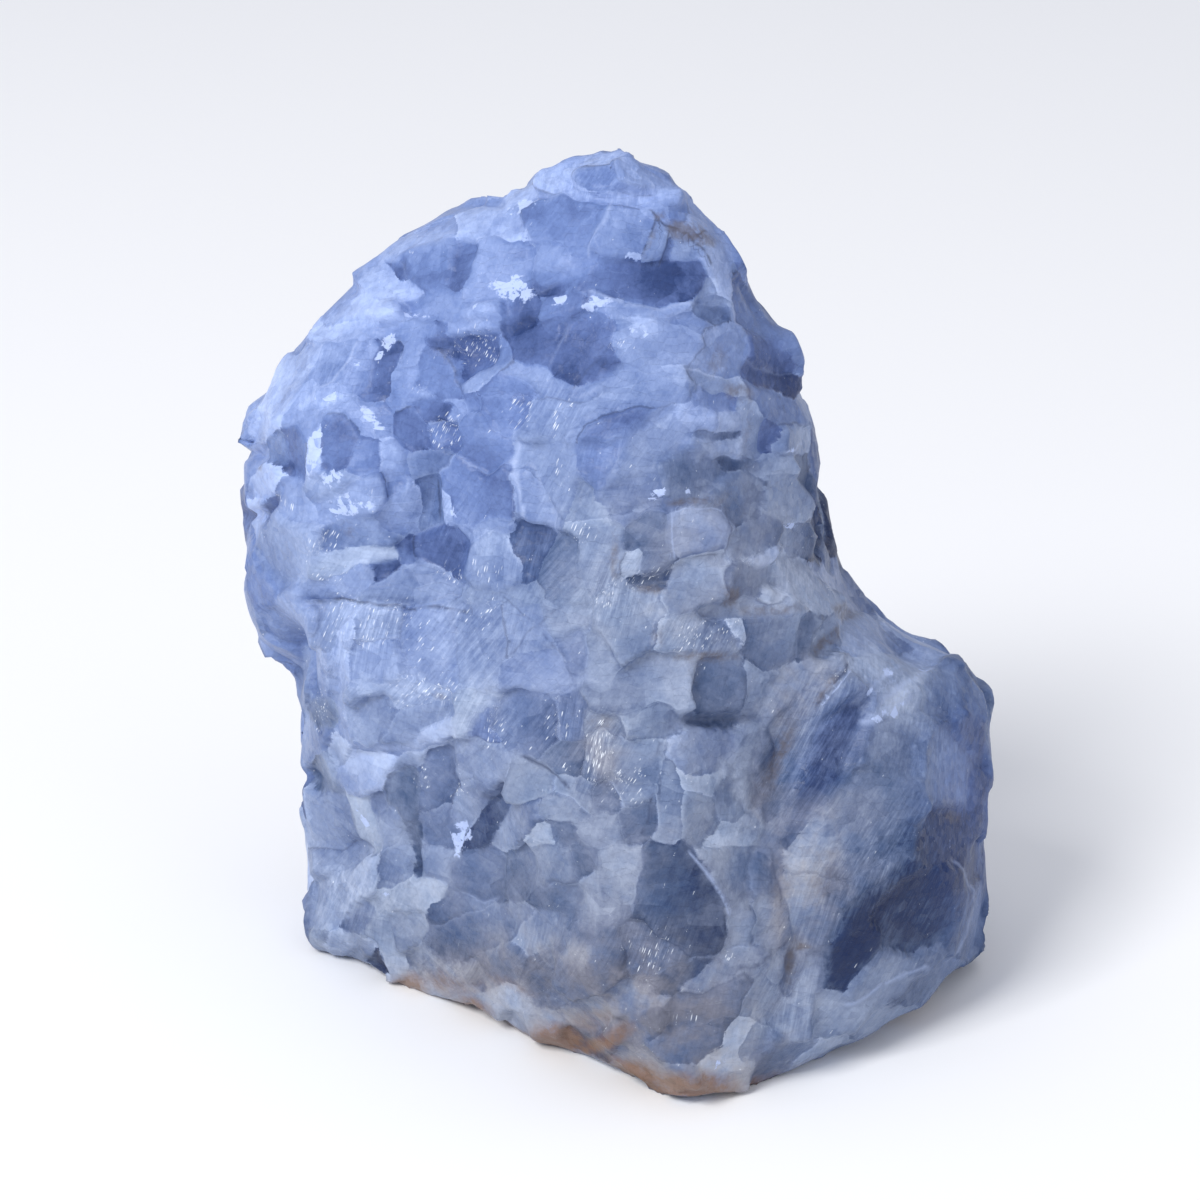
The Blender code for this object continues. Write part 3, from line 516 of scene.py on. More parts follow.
# Hollows and swellings wider than a grain: middle, length and width in pixels, turn in degrees, and depth in
# millimetres, below nought for a swelling.
HOLLOWS = {
    "notch below the left side": (286, 662, 100, 50, 80, 4.2),
    "left side in the middle": (246, 520, 90, 34, 90, 1.1),
    "left side low": (296, 722, 90, 34, 90, 1.4),
    "left side high": (256, 378, 90, 34, 75, 1.0),
    "crest on the left": (500, 190, 110, 30, 20, 1.3),
    "left side by the foot": (298, 880, 60, 34, 90, 1.8),
    "right of the peak": (738, 236, 60, 30, -60, 1.4),
    "right edge of the cluster": (786, 350, 70, 30, -70, -1.2),
    "end of the ledge": (905, 634, 76, 44, -40, 1.8),
    "top right of the boss": (928, 642, 150, 50, -30, 2.6),
    "top of the ledge": (880, 598, 120, 34, -25, 1.8),
    "crack over the skirt": (395, 605, 150, 12, -2, 0.9),
    "nick high on the left": (245, 453, 30, 16, 0, 1.5),
    "nick low on the left": (246, 515, 30, 14, 0, 1.2),
    "left slit": (266, 509, 44, 14, 55, 1.2),
    "left step": (300, 778, 44, 18, -15, 1.0),
    "left knob": (358, 462, 110, 120, 0, -1.3),
    "channel": (428, 500, 66, 22, 88, 1.1),
    "three-sided pit": (473, 352, 54, 46, 0, 1.6),
    "glittering pit": (443, 435, 34, 30, 0, 0.8),
    "box pit": (386, 571, 36, 26, 15, 0.9),
    "dark slot": (712, 720, 62, 16, 0, 1.2),
    "boss valley": (775, 775, 140, 44, 66, 0.7),
    "ledge crevice": (828, 640, 46, 20, 60, 0.5),
    "crevice under the tan lobe": (794, 965, 60, 16, 80, 1.2),
    "round bump": (590, 958, 84, 76, 0, -1.2),
    "left foot": (322, 936, 60, 56, 0, -1.4),
    "hollow under the cluster": (650, 584, 56, 16, 10, 0.9),
}

# Soft patches on the surface, part by part: middle, length and width in pixels, turn in degrees, and how
# strong.
CHALK = {
    "peak": [(525, 206, 38, 20, 10, 1.0)],
    "crest": [
        (512, 288, 48, 30, -5, 1.0), (384, 345, 44, 12, 60, 0.9), (410, 314, 60, 6, 0, 0.6),
        (480, 304, 20, 8, 60, 0.6),
    ],
    "lens": [(595, 304, 38, 16, 20, 0.9), (560, 302, 20, 14, 60, 0.8), (637, 332, 32, 18, -20, 0.7)],
    "left knob": [
        (317, 450, 54, 16, 85, 1.0), (374, 422, 44, 16, -50, 0.8), (348, 506, 66, 26, 15, 0.9),
        (335, 478, 24, 20, 0, 0.8), (358, 364, 12, 8, 0, 0.7), (331, 398, 30, 22, 0, 0.6),
    ],
    "middle": [(452, 510, 32, 8, -75, 0.7)],
    "cluster": [(656, 496, 22, 10, 30, 1.0), (688, 490, 14, 6, 90, 0.9), (790, 450, 28, 10, 15, 0.6)],
    "ledge": [(787, 526, 20, 6, 10, 1.0), (889, 671, 20, 18, 0, 0.6)],
    "boss": [
        (950, 845, 10, 20, 0, 0.6), (890, 711, 42, 16, 25, 0.8), (930, 660, 20, 14, 0, 0.6),
        (867, 693, 14, 6, 30, 0.8),
    ],
    "lower left": [(461, 838, 34, 24, 75, 1.0), (364, 818, 40, 12, -62, 0.6), (385, 895, 18, 10, 0, 0.5)],
    "toe": [(722, 1066, 40, 20, 60, 0.5)],
    "foot": [(470, 1068, 16, 8, 0, 0.3)],
}
DIRT = {
    "peak": [
        (685, 232, 46, 20, -15, 1.0), (706, 242, 22, 14, 0, 0.8), (660, 216, 12, 10, 0, 0.7),
        (650, 240, 44, 5, 70, 0.5),
    ],
    "lens": [(718, 360, 40, 24, 70, 0.5), (737, 392, 32, 18, -30, 0.7), (760, 385, 30, 12, -20, 0.4)],
    "left knob": [(275, 442, 30, 24, 0, 0.25), (264, 468, 8, 7, 0, 0.9), (347, 530, 20, 18, 0, 0.4)],
    "cluster": [
        (615, 560, 50, 10, 88, 0.6), (650, 590, 36, 10, 0, 0.7), (730, 595, 22, 22, 0, 1.0),
        (705, 656, 70, 12, 0, 0.8), (748, 430, 56, 12, 85, 0.4), (655, 636, 30, 14, 60, 0.5),
        (688, 501, 54, 9, 3, 0.6), (694, 672, 44, 16, 80, 0.35), (722, 500, 36, 10, 40, 0.4),
    ],
    "ledge": [
        (770, 610, 80, 12, 3, 0.6), (845, 612, 36, 14, -10, 0.8), (832, 640, 36, 12, 60, 0.8),
        (825, 690, 44, 8, 58, 0.7),
    ],
    "skirt": [(435, 697, 18, 12, 0, 0.5)],
    "lower middle": [(602, 722, 28, 22, 0, 0.5)],
    "boss": [(782, 760, 80, 20, 68, 0.7), (815, 878, 56, 26, 75, 0.4), (956, 817, 20, 14, 0, 0.5)],
    "toe": [(793, 965, 48, 12, 80, 0.7), (806, 948, 14, 8, 0, 0.9), (640, 960, 60, 36, 0, 0.35)],
    "foot": [(585, 965, 50, 40, 0, 0.2)],
}
STAIN = {
    "lower left": [(408, 985, 44, 20, -15, 0.9), (314, 951, 24, 12, -15, 1.0)],
    "toe": [
        (636, 1076, 70, 30, -25, 1.0), (690, 1090, 90, 34, 0, 1.2), (752, 1086, 66, 14, 14, 0.6),
        (820, 1060, 90, 10, 25, 0.4),
    ],
    "foot": [
        (450, 984, 70, 28, -10, 0.5), (476, 1005, 46, 16, -28, 0.8), (556, 1044, 60, 34, -25, 1.0),
        (600, 1044, 70, 20, 30, 0.9), (510, 985, 60, 18, -20, 0.35), (590, 1020, 60, 26, 10, 0.4),
    ],
}
# Where glints are painted: white specks that stand in for light caught by small cleavage faces.
PAINTED_GLINTS = {
    "crest": [(471, 346, 44, 28, 0, 0.9), (420, 388, 10, 7, 0, 0.7), (413, 257, 8, 6, 0, 0.8)],
    "lens": [(618, 348, 18, 9, 20, 0.8)],
    "left knob": [(326, 540, 26, 18, 60, 0.8), (283, 502, 22, 10, -40, 0.6)],
    "middle": [
        (520, 413, 28, 24, 60, 1.0), (557, 420, 28, 8, 82, 0.9), (568, 408, 24, 7, 80, 0.7),
        (443, 432, 30, 28, 0, 1.0), (562, 470, 30, 12, 70, 0.7), (580, 533, 24, 18, 0, 0.7),
        (492, 570, 26, 20, 0, 0.6),
    ],
    "cluster": [
        (606, 594, 36, 18, 50, 0.8), (645, 580, 44, 12, 20, 0.7), (700, 635, 66, 24, 10, 0.6),
        (745, 566, 16, 10, 60, 0.7),
    ],
    "ledge": [(838, 675, 14, 6, 60, 1.0), (828, 588, 12, 8, 0, 0.8)],
    "skirt": [
        (455, 573, 22, 14, -30, 0.8), (425, 692, 56, 28, 0, 0.8), (338, 614, 44, 26, 55, 0.7),
        (380, 626, 56, 26, 40, 0.6), (494, 725, 40, 22, 80, 0.5), (425, 775, 24, 14, 80, 0.4),
        (319, 708, 36, 12, 80, 0.7), (466, 610, 34, 9, 66, 0.5), (488, 612, 28, 11, 66, 0.6),
        (420, 645, 50, 30, 80, 0.4), (333, 575, 30, 16, 0, 0.5), (365, 640, 20, 12, 40, 0.8),
        (285, 640, 10, 8, 0, 0.6),
    ],
    "lower middle": [
        (598, 752, 56, 20, 78, 0.9), (625, 785, 44, 32, 0, 0.5), (560, 722, 36, 20, 55, 0.5),
        (567, 770, 20, 9, -15, 0.9),
    ],
    "lower left": [(460, 790, 22, 8, 65, 0.6)],
    "toe": [(650, 952, 56, 36, 80, 0.4), (730, 958, 8, 8, 0, 0.8), (683, 1020, 28, 6, 10, 0.7)],
}
STREAKS = {
    "peak": [(600, 180, 140, 60, 0, 0.5)],
    "left knob": [(335, 385, 60, 60, 0, 0.6)],
    "middle": [
        (450, 520, 60, 60, 0, 0.5), (560, 490, 70, 110, 0, 0.3), (540, 560, 60, 80, 0, 0.6),
        (560, 410, 60, 60, 0, 0.7),
    ],
    "cluster": [(615, 590, 80, 80, 0, 0.8), (700, 635, 90, 36, 0, 0.8), (640, 430, 140, 110, 0, 0.2)],
    "ledge": [(820, 570, 80, 60, 0, 0.5)],
    "skirt": [
        (385, 625, 80, 60, 0, 0.9), (480, 640, 90, 90, 0, 0.7), (490, 725, 60, 60, 0, 0.6),
        (340, 650, 60, 110, 0, 0.6), (430, 690, 90, 50, 0, 0.6),
    ],
    "lower middle": [(598, 750, 80, 46, 80, 1.0), (560, 720, 60, 70, 0, 0.6)],
    "boss": [(890, 880, 210, 120, 38, 0.9), (930, 740, 90, 120, 0, 0.5), (815, 745, 180, 90, 60, 0.9)],
    "lower left": [(345, 895, 90, 70, 0, 0.6), (450, 970, 80, 50, 0, 0.6)],
    "toe": [(650, 950, 80, 80, 0, 0.7), (790, 1000, 80, 100, 0, 0.5)],
    "foot": [(545, 960, 80, 80, 0, 0.5)],
}

# Wide soft areas: middle, length and width in pixels, turn in degrees, and how much lighter, greyer and
# warmer they are. Some are partly painted light and shade: the boss, its dark foot, the lower middle and the
# shade under the left are darker, and the lower and right halves greyer, away from the lamp up to the left,
# and the round bump's pale spots are painted highlights.
TINTS = {
    "dark half of the lens": (662, 280, 76, 44, 0, -0.12, -0.2, 0.0),
    "boss": (890, 810, 250, 270, 0, -0.15, -0.05, 0.05),
    "right edge of the boss": (968, 820, 70, 300, 0, -0.04, -0.45, -0.3),
    "shoulder of the ledge": (880, 640, 170, 90, -25, 0.20, 0.05, 0.0),
    "end of the cluster": (800, 640, 90, 80, 0, 0.12, 0.0, 0.0),
    "lower half": (600, 960, 800, 460, 0, 0.0, 0.45, 0.3),
    "right half": (800, 720, 620, 560, 0, -0.01, 0.08, 0.14),
    "dark slab of the toe": (679, 899, 110, 140, 0, 0.06, 0.1, 0.1),
    "slab under the tiles": (626, 620, 110, 70, 0, 0.07, 0.1, 0.1),
    "pale foot of the boss": (805, 1002, 90, 110, 0, 0.05, 0.05, 0.0),
    "dark foot of the boss": (900, 905, 220, 100, 35, -0.06, -0.15, 0.0),
    "teal shade on the boss": (945, 825, 90, 150, 0, -0.02, -0.25, -0.3),
    "grey middle of the boss": (850, 830, 140, 110, 30, -0.03, 0.25, 0.1),
    "tan centre": (700, 560, 220, 190, 0, 0.05, 0.05, 0.5),
    "tan foot": (620, 1010, 190, 130, 0, -0.02, 0.15, 1.1),
    "tan lower left": (465, 978, 150, 66, 15, 0.0, 0.15, 0.8),
    "tan lobe": (805, 890, 60, 130, -10, 0.10, 0.0, 0.9),
    "left of the boss": (800, 840, 80, 90, 30, 0.16, 0.0, 0.15),
    "blue band": (825, 765, 170, 44, 62, 0.14, -0.3, 0.0),
    "valley": (773, 770, 130, 30, 72, -0.14, 0.1, 0.5),
    "valley foot": (780, 900, 90, 18, -85, -0.10, 0.0, 0.5),
    "olive streak": (890, 892, 90, 26, 40, -0.02, 0.1, 0.2),
    "painted highlights on the round bump": (588, 950, 36, 20, 0, 0.22, 0.0, 0.1),
    "white band on the boss": (905, 688, 84, 13, 42, 0.22, 0.0, 0.1),
    "rust at the foot": (690, 1080, 160, 40, 0, 0.0, 0.2, 1.0),
    "tan toe": (700, 1035, 200, 80, 0, 0.0, 0.1, 0.5),
    "cream streaks": (600, 752, 50, 66, 0, 0.0, 0.1, 0.7),
    "tan top of the boss": (800, 684, 80, 50, 30, 0.0, 0.0, 0.7),
    "blue upper left": (430, 290, 360, 300, 40, -0.02, -0.4, 0.0),
    "blue neck": (700, 300, 260, 260, 0, 0.0, -0.25, 0.0),
    "blue crest": (600, 180, 240, 100, 0, 0.02, -0.2, 0.0),
    "pale left side": (300, 440, 150, 260, 0, 0.05, -0.05, 0.0),
    "pale skirt": (380, 670, 260, 240, 0, -0.02, 0.06, 0.0),
    "right slope": (725, 360, 110, 220, 0, 0.03, -0.05, 0.1),
    "lower middle": (640, 850, 420, 380, 0, -0.03, 0.0, 0.15),
    "shade under the left": (400, 940, 220, 120, 0, -0.03, 0.05, 0.1),
    "middle": (520, 470, 400, 260, 0, 0.02, 0.10, 0.0),
}

# Where one grain fades into the next: middle, length and width in pixels, turn in degrees, and how far.
FADES = {
    "peak": [(600, 200, 240, 90, 0, 0.5)],
    "crest": [(470, 310, 240, 110, 0, 0.4)],
    "left knob": [(300, 570, 110, 130, 0, 0.5), (330, 390, 120, 100, 0, 0.5)],
    "cluster": [(640, 440, 190, 120, 0, 0.8)],
    "skirt": [(440, 640, 200, 110, 0, 0.5), (500, 600, 160, 80, 0, 0.6), (420, 690, 160, 80, 0, 0.4)],
    "boss": [
        (895, 880, 220, 150, 35, 1.0), (835, 765, 190, 90, 60, 1.0), (950, 760, 60, 160, 0, 0.9),
        (880, 780, 260, 260, 0, 1.0),
    ],
    "lower left": [(360, 880, 110, 90, 0, 0.4)],
    "toe": [(860, 950, 200, 120, 0, 0.6)],
    "foot": [(600, 960, 110, 100, 0, 0.6), (600, 1000, 260, 120, 0, 0.5)],
}

# Thin lines between or across grains: how pale (above nought) or dark, half the width in millimetres, and
# the points in picture pixels. The gleam in the crevice is a painted highlight and the shade under the lens
# painted shade.
LINES = {
    "crack under the peak": (-0.9, 0.3, "654,212 664,224 676,230 690,237 704,232"),
    "crack down the peak's right": (-0.9, 0.35, "688,236 699,248 708,262"),
    "crack beside it": (-0.6, 0.2, "676,230 684,244"),
    "foot of the pale tile": (-0.5, 0.22, "726,512 730,534 724,556 700,558 672,560"),
    "rim of the pale tile": (0.5, 0.2, "671,558 672,512 690,507 722,511"),
    "crack over the skirt": (-0.8, 0.35, "330,601 365,604 405,608 440,607 470,612"),
    "slanting crack in the middle": (-0.4, 0.25, "505,597 525,615 545,635 562,655"),
    "crack across that one": (-0.35, 0.25, "510,655 530,632 545,618 560,608"),
    "crack in the lower middle": (-0.9, 0.4, "525,757 545,770 568,788"),
    "left of the peak's slab": (-0.8, 0.25, "657,215 650,235 641,257"),
    "right of the peak's slab": (-0.7, 0.25, "668,228 661,262"),
    "rim of the dark slab": (0.6, 0.35, "692,856 712,880 730,912"),
    "pale line under the peak": (0.5, 0.45, "614,200 604,225 590,255"),
    "pale line on the right slope": (0.7, 0.25, "682,369 700,372 716,378"),
    "pale edge in the middle": (0.8, 0.5, "514,444 512,462 520,490 527,518"),
    "pale line on the left shoulder": (0.6, 0.3, "358,345 345,368 325,385"),
    "left of the channel": (-0.8, 0.35, "433,488 436,518"),
    "crack left of the dark slab": (-0.7, 0.3, "652,800 648,820 640,836"),
    "left of the three-sided pit": (-0.5, 0.3, "440,352 455,372 464,392"),
    "nick on the right edge": (-0.6, 0.3, "780,425 796,424 808,426"),
    "pale line on the right edge": (0.6, 0.3, "780,452 795,448 806,444"),
    "crack beside the cream streaks": (-0.5, 0.3, "660,800 657,760 660,745"),
    "crevice on the boss": (-0.9, 0.4, "845,668 832,684 820,702"),
    "gleam in the crevice": (0.9, 0.14, "848,670 836,686 825,702"),
    "white band on the boss": (0.55, 0.7, "880,702 905,682 938,659"),
    "lower white band": (0.5, 0.8, "866,722 885,712 908,699"),
    "upper white band": (0.4, 0.5, "870,690 885,676 900,664"),
    "pale line right of the boss": (0.4, 0.4, "952,862 960,872 972,900"),
    "crack left of the boss": (-0.6, 0.35, "772,856 774,872 780,890 778,905"),
    "pale line low on the right": (0.35, 0.5, "975,905 968,935 950,958"),
    "crack over the toe": (-0.5, 0.4, "740,968 765,955 788,940"),
    "pale line under the boss": (0.5, 0.35, "848,1004 880,990 920,965"),
    "pale line under the lens": (0.5, 0.4, "592,292 625,302 662,308 690,304"),
    "shade under the lens": (-0.4, 0.25, "575,386 592,366 612,346"),
}


def ease(value):
    """Eases 0 to 1 with level ends."""
    held = np.clip(value, 0.0, 1.0)
    return held * held * (3.0 - 2.0 * held)


def read_outline(text):
    """The points that a row of picture pixels names."""
    return np.array([[float(number) for number in pair.split(",")] for pair in text.split()])


class Spots:
    """Points of the stone in millimetres, where the camera sees each, and how squarely it faces that way."""

    def __init__(self, points, facings):
        self.points = points
        self.facings = facings
        away = points - np.array(EYE) / MM
        depth = away @ np.array(FORWARD)
        self.pixel_size = depth / FOCAL
        self.pixels = np.stack([
            PICTURE / 2 + away @ np.array(RIGHT) / self.pixel_size,
            PICTURE / 2 - away @ np.array(UP) / self.pixel_size,
        ], 1)
        self.facing = -(away * facings).sum(1) / np.linalg.norm(away, axis=1)

    def take(self, chosen):
        part = Spots.__new__(Spots)
        for name, values in vars(self).items():
            setattr(part, name, values[chosen])
        return part


def outline_gap(pixels, outline):
    """Distance in pixels from each point to an outline, below nought inside it."""
    start = outline
    end = np.roll(outline, -1, axis=0)
    edge = end - start
    from_start = pixels[:, None, :] - start
    part = np.clip((from_start * edge).sum(2) / (edge * edge).sum(1), 0.0, 1.0)
    gap = np.linalg.norm(from_start - edge * part[:, :, None], axis=2).min(1)
    down = pixels[:, 1:]
    crosses = (start[:, 1] <= down) != (end[:, 1] <= down)
    slope = edge[:, 0] / np.where(edge[:, 1] == 0.0, 1.0, edge[:, 1])
    left = pixels[:, :1] < start[:, 0] + (down - start[:, 1]) * slope
    inside = (crosses & left).sum(1) % 2 == 1
    return np.where(inside, -gap, gap)


def oval(spots, middle_across, middle_down, long, wide, turn):
    """How far each spot is out from the middle of an oval drawn on the picture: 1 is its edge."""
    slant = math.radians(turn)
    across = spots.pixels[:, 0] - middle_across
    down = spots.pixels[:, 1] - middle_down
    along = across * math.cos(slant) - down * math.sin(slant)
    beside = across * math.sin(slant) + down * math.cos(slant)
    return np.hypot(along / (long / 2.0), beside / (wide / 2.0))


class Grain:
    """One crystal grain: an outline drawn on the picture, or a loose bar with a radius, in millimetres."""

    def __init__(self, tone, grey, lift, chance, outline=None, tail=None, head=None, radius=0.0):
        self.tone = tone
        self.grey = grey
        self.lift = lift
        self.chance = chance
        self.outline = outline
        self.tail = tail
        self.head = head
        self.radius = radius

    def near(self, spots):
        """The spots that this grain could reach."""
        if self.outline is not None:
            low = self.outline.min(0) - DRAWN_MARGIN
            high = self.outline.max(0) + DRAWN_MARGIN
            held = ((spots.pixels > low) & (spots.pixels < high)).all(1) & (spots.facing > TURNED_PAST)
        else:
            middle = (self.tail + self.head) / 2.0
            most = np.linalg.norm(self.head - self.tail) / 2.0 + self.radius + LOOSE_MARGIN
            held = ((spots.points - middle) ** 2).sum(1) < most ** 2
        return np.flatnonzero(held)

    def gap(self, spots):
        """Distance in millimetres from each spot to the grain's edge, below nought inside it."""
        if self.outline is not None:
            turned = np.maximum(0.0, TURNED_AWAY - spots.facing)
            return outline_gap(spots.pixels, self.outline) * spots.pixel_size + turned * TURNED_COST
        bar = self.head - self.tail
        part = np.clip((spots.points - self.tail) @ bar / max(bar @ bar, TINY), 0.0, 1.0)
        return np.linalg.norm(spots.points - self.tail - part[:, None] * bar, axis=1) - self.radius


def nearest_grains(grains, spots, count):
    """The grains nearest to each spot, nearest first, and the gap to each."""
    chosen = np.zeros((len(spots.points), count), np.int32)
    gaps = np.full((len(spots.points), count), FAR_OFF)
    for index, grain in enumerate(grains):
        held = grain.near(spots)
        if not len(held):
            continue
        every = np.concatenate([gaps[held], grain.gap(spots.take(held))[:, None]], 1)
        names = np.concatenate([chosen[held], np.full((len(held), 1), index, np.int32)], 1)
        order = np.argsort(every, axis=1)[:, :count]
        gaps[held] = np.take_along_axis(every, order, 1)
        chosen[held] = np.take_along_axis(names, order, 1)
    return chosen, gaps


def soft_oval(spots, place, fall, flat):
    """An oval drawn on the picture: 1 at its middle, less outwards. A higher flat makes a plainer middle."""
    return np.exp(-fall * oval(spots, *place) ** flat)


def faces_camera(spots, past, over):
    """1 where a spot faces the camera, easing to 0 where it has turned away by past more than side on."""
    return ease((spots.facing + past) / over)


def tint(spots):
    """How much lighter, greyer and warmer the wide soft areas make each spot."""
    change = np.zeros((len(spots.points), 3))
    seen = faces_camera(spots, past=0.3, over=0.4)
    for *place, lighter, greyer, warmer in TINTS.values():
        cover = soft_oval(spots, place, fall=0.8, flat=2.5) * seen
        change += cover[:, None] * np.array([lighter, greyer, warmer])
    return change


def draw_grains(rng):
    """The grains that the lists name."""
    return [
        Grain(*TONES[tone], lift, rng.uniform(), outline=read_outline(corners))
        for rows in GRAINS.values()
        for tone, lift, corners in rows
    ]


def lay_loose_grains(grains, spots, rng):
    """Grains laid at random wherever no grain is yet, on the sides, the back and the underside."""
    covered = nearest_grains(grains, spots, 1)[1][:, 0]
    drawn_at = np.array([grain.outline.mean(0) for grain in grains])
    drawn_look = np.array([(grain.tone, grain.grey) for grain in grains])
    tails = np.empty((0, 3))
    heads = np.empty((0, 3))
    radii = np.empty(0)
    for index in rng.integers(0, len(spots.points), LOOSE_GRAIN_TRIES):
        size = rng.uniform() ** LOOSE_FEW_LARGE
        radius = LOOSE_GRAIN_SMALL + (LOOSE_GRAIN_LARGE - LOOSE_GRAIN_SMALL) * size
        half = max(0.0, rng.uniform(LOOSE_STUBBY, 1.0)) * LOOSE_GRAIN_REACH
        middle = spots.points[index] - spots.facings[index] * rng.uniform(0.0, LOOSE_GRAIN_DEPTH)
        along = np.cross(spots.facings[index], rng.normal(size=3))
        along /= np.linalg.norm(along)
        chance = rng.uniform()
        tone_step = rng.normal()
        grey_step = rng.normal()
        lift = rng.normal() * FACE_LIFT
        if covered[index] < radius * LOOSE_CLEAR_OF_DRAWN:
            continue
        bars = heads - tails
        part = np.clip(((middle - tails) * bars).sum(1) / np.maximum((bars * bars).sum(1), TINY), 0.0, 1.0)
        gap = np.linalg.norm(tails + bars * part[:, None] - middle, axis=1) - radii
        if (gap < radius * LOOSE_CLEAR_OF_LOOSE).any():
            continue
        # Greyer and darker down and right, paler and bluer up and left: partly painted shade and light from the
        # lamp.
        corner = middle[0] / GREY_ACROSS - (middle[2] - GREY_LEVEL) / GREY_UP
        greyness = np.clip(corner * GREY_SHARE + GREY_MIDDLE, 0.0, GREY_MOST)
        usual = np.array([BLUE_TONE - GREY_TONE_LOSS * greyness, greyness])
        apart = ((drawn_at - spots.pixels[index]) ** 2).sum(1)
        seen = spots.facing[index] > 0.0
        nearness = np.exp(-apart / TONE_REACH ** 2) * float(seen)
        usual = (usual * PLACE_WEIGHT + nearness @ drawn_look) / (PLACE_WEIGHT + nearness.sum())
        spread = TONE_SPREAD_SEEN if seen else TONE_SPREAD_HIDDEN
        tone = np.clip(usual[0] + spread * tone_step, *LOOSE_TONES)
        grey = np.clip(usual[1] + GREY_SPREAD * grey_step, 0.0, 1.0)
        tail, head = middle - along * half, middle + along * half
        grains.append(Grain(tone, grey, lift, chance, tail=tail, head=head, radius=radius))
        tails = np.vstack([tails, tail])
        heads = np.vstack([heads, head])
        radii = np.append(radii, radius)


def wear(shaped, times):
    """Evens out the points that don't stand on the floor."""
    worn = [vert for vert in shaped.verts if vert.co.z > WORN_ABOVE]
    for _ in range(times):
        bmesh.ops.smooth_vert(
            shaped, verts=worn, factor=SKIN_WEAR_STEP, use_axis_x=True, use_axis_y=True, use_axis_z=True
        )


def make_skin(solid):
    """A copy of the stone with a fine even mesh, finest on the seen side, its large facets worn round."""
    cut = bmesh.new()
    cut.from_mesh(solid.data)
    bmesh.ops.remove_doubles(cut, verts=cut.verts, dist=SAME_POINT)
    coarse = bpy.data.meshes.new("calcite_skin")
    cut.to_mesh(coarse)
    cut.free()
    stone = bpy.data.objects.new("blue_calcite", coarse)
    bpy.context.scene.collection.objects.link(stone)
    grid = stone.modifiers.new("grid", "REMESH")
    grid.mode = "VOXEL"
    grid.voxel_size = SKIN_GRID
    gridded = stone.evaluated_get(bpy.context.evaluated_depsgraph_get())
    even = bpy.data.meshes.new_from_object(gridded)
    stone.modifiers.clear()
    stone.data = even
    bpy.data.meshes.remove(coarse)
    even.name = "blue_calcite"
    even.materials.clear()
    shaped = bmesh.new()
    shaped.from_mesh(even)
    wear(shaped, SKIN_WEAR)
    shaped.normal_update()
    seen = {
        edge
        for face in shaped.faces
        if face.normal.dot(EYE - face.calc_center_median()) > 0.0
        for edge in face.edges
    }
    bmesh.ops.subdivide_edges(shaped, edges=list(seen), cuts=1, use_grid_fill=True, smooth=0.0)
    wear(shaped, SKIN_FINE_WEAR)
    bmesh.ops.triangulate(shaped, faces=shaped.faces)
    shaped.to_mesh(even)
    shaped.free()
    even.shade_smooth()
    return stone


def read_vectors(items, name):
    """One vector of every point of a mesh."""
    values = np.empty(len(items) * 3, np.float32)
    items.foreach_get(name, values)
    return values.reshape(-1, 3).astype(np.float64)


def read_triangles(mesh):
    """The three points of every triangle."""
    corners = np.empty(len(mesh.loops), np.int32)
    mesh.loops.foreach_get("vertex_index", corners)
    return corners.reshape(-1, 3)


def waves(points, size, count, rng):
    """Smooth unrepeating noise of about one size in millimetres, as a vector at each point."""
    ways = rng.normal(size=(count, 3))
    ways /= np.linalg.norm(ways, axis=1)[:, None]
    pitch = 2.0 * math.pi / (size * rng.uniform(*WAVE_SPREAD, count))
    start = rng.uniform(0.0, 2.0 * math.pi, count)
    push = rng.normal(size=(count, 3))
    push /= np.linalg.norm(push, axis=1)[:, None]
    phase = points @ (ways * pitch[:, None]).T + start
    return np.sin(phase) @ push * math.sqrt(2.0 / count)


def pair_chance(low, high):
    """A number from 0 to 1 that belongs to two neighbouring grains."""
    mixed = np.sin(low * SCATTER_LOW + high * SCATTER_HIGH) * SCATTER_BOTH
    return mixed - np.floor(mixed)


def grain_faces(grains, spots, owner, rng):
    """The flat face of each broken grain: a middle and a direction."""
    count = len(grains)
    share = np.maximum(np.bincount(owner, minlength=count), 1).astype(float)
    middle = np.stack([np.bincount(owner, spots.points[:, k], count) for k in range(3)], 1) / share[:, None]
    out = np.stack([np.bincount(owner, spots.facings[:, k], count) for k in range(3)], 1)
    out /= np.maximum(np.linalg.norm(out, axis=1), TINY)[:, None]
    loose = np.array([1.0 if grain.outline is not None else LOOSE_FACE_SHARE for grain in grains])
    tilted = out + rng.normal(size=(count, 3)) * (math.tan(math.radians(FACE_LEAN_DEG)) * loose)[:, None]
    tilted /= np.linalg.norm(tilted, axis=1)[:, None]
    return middle, tilted


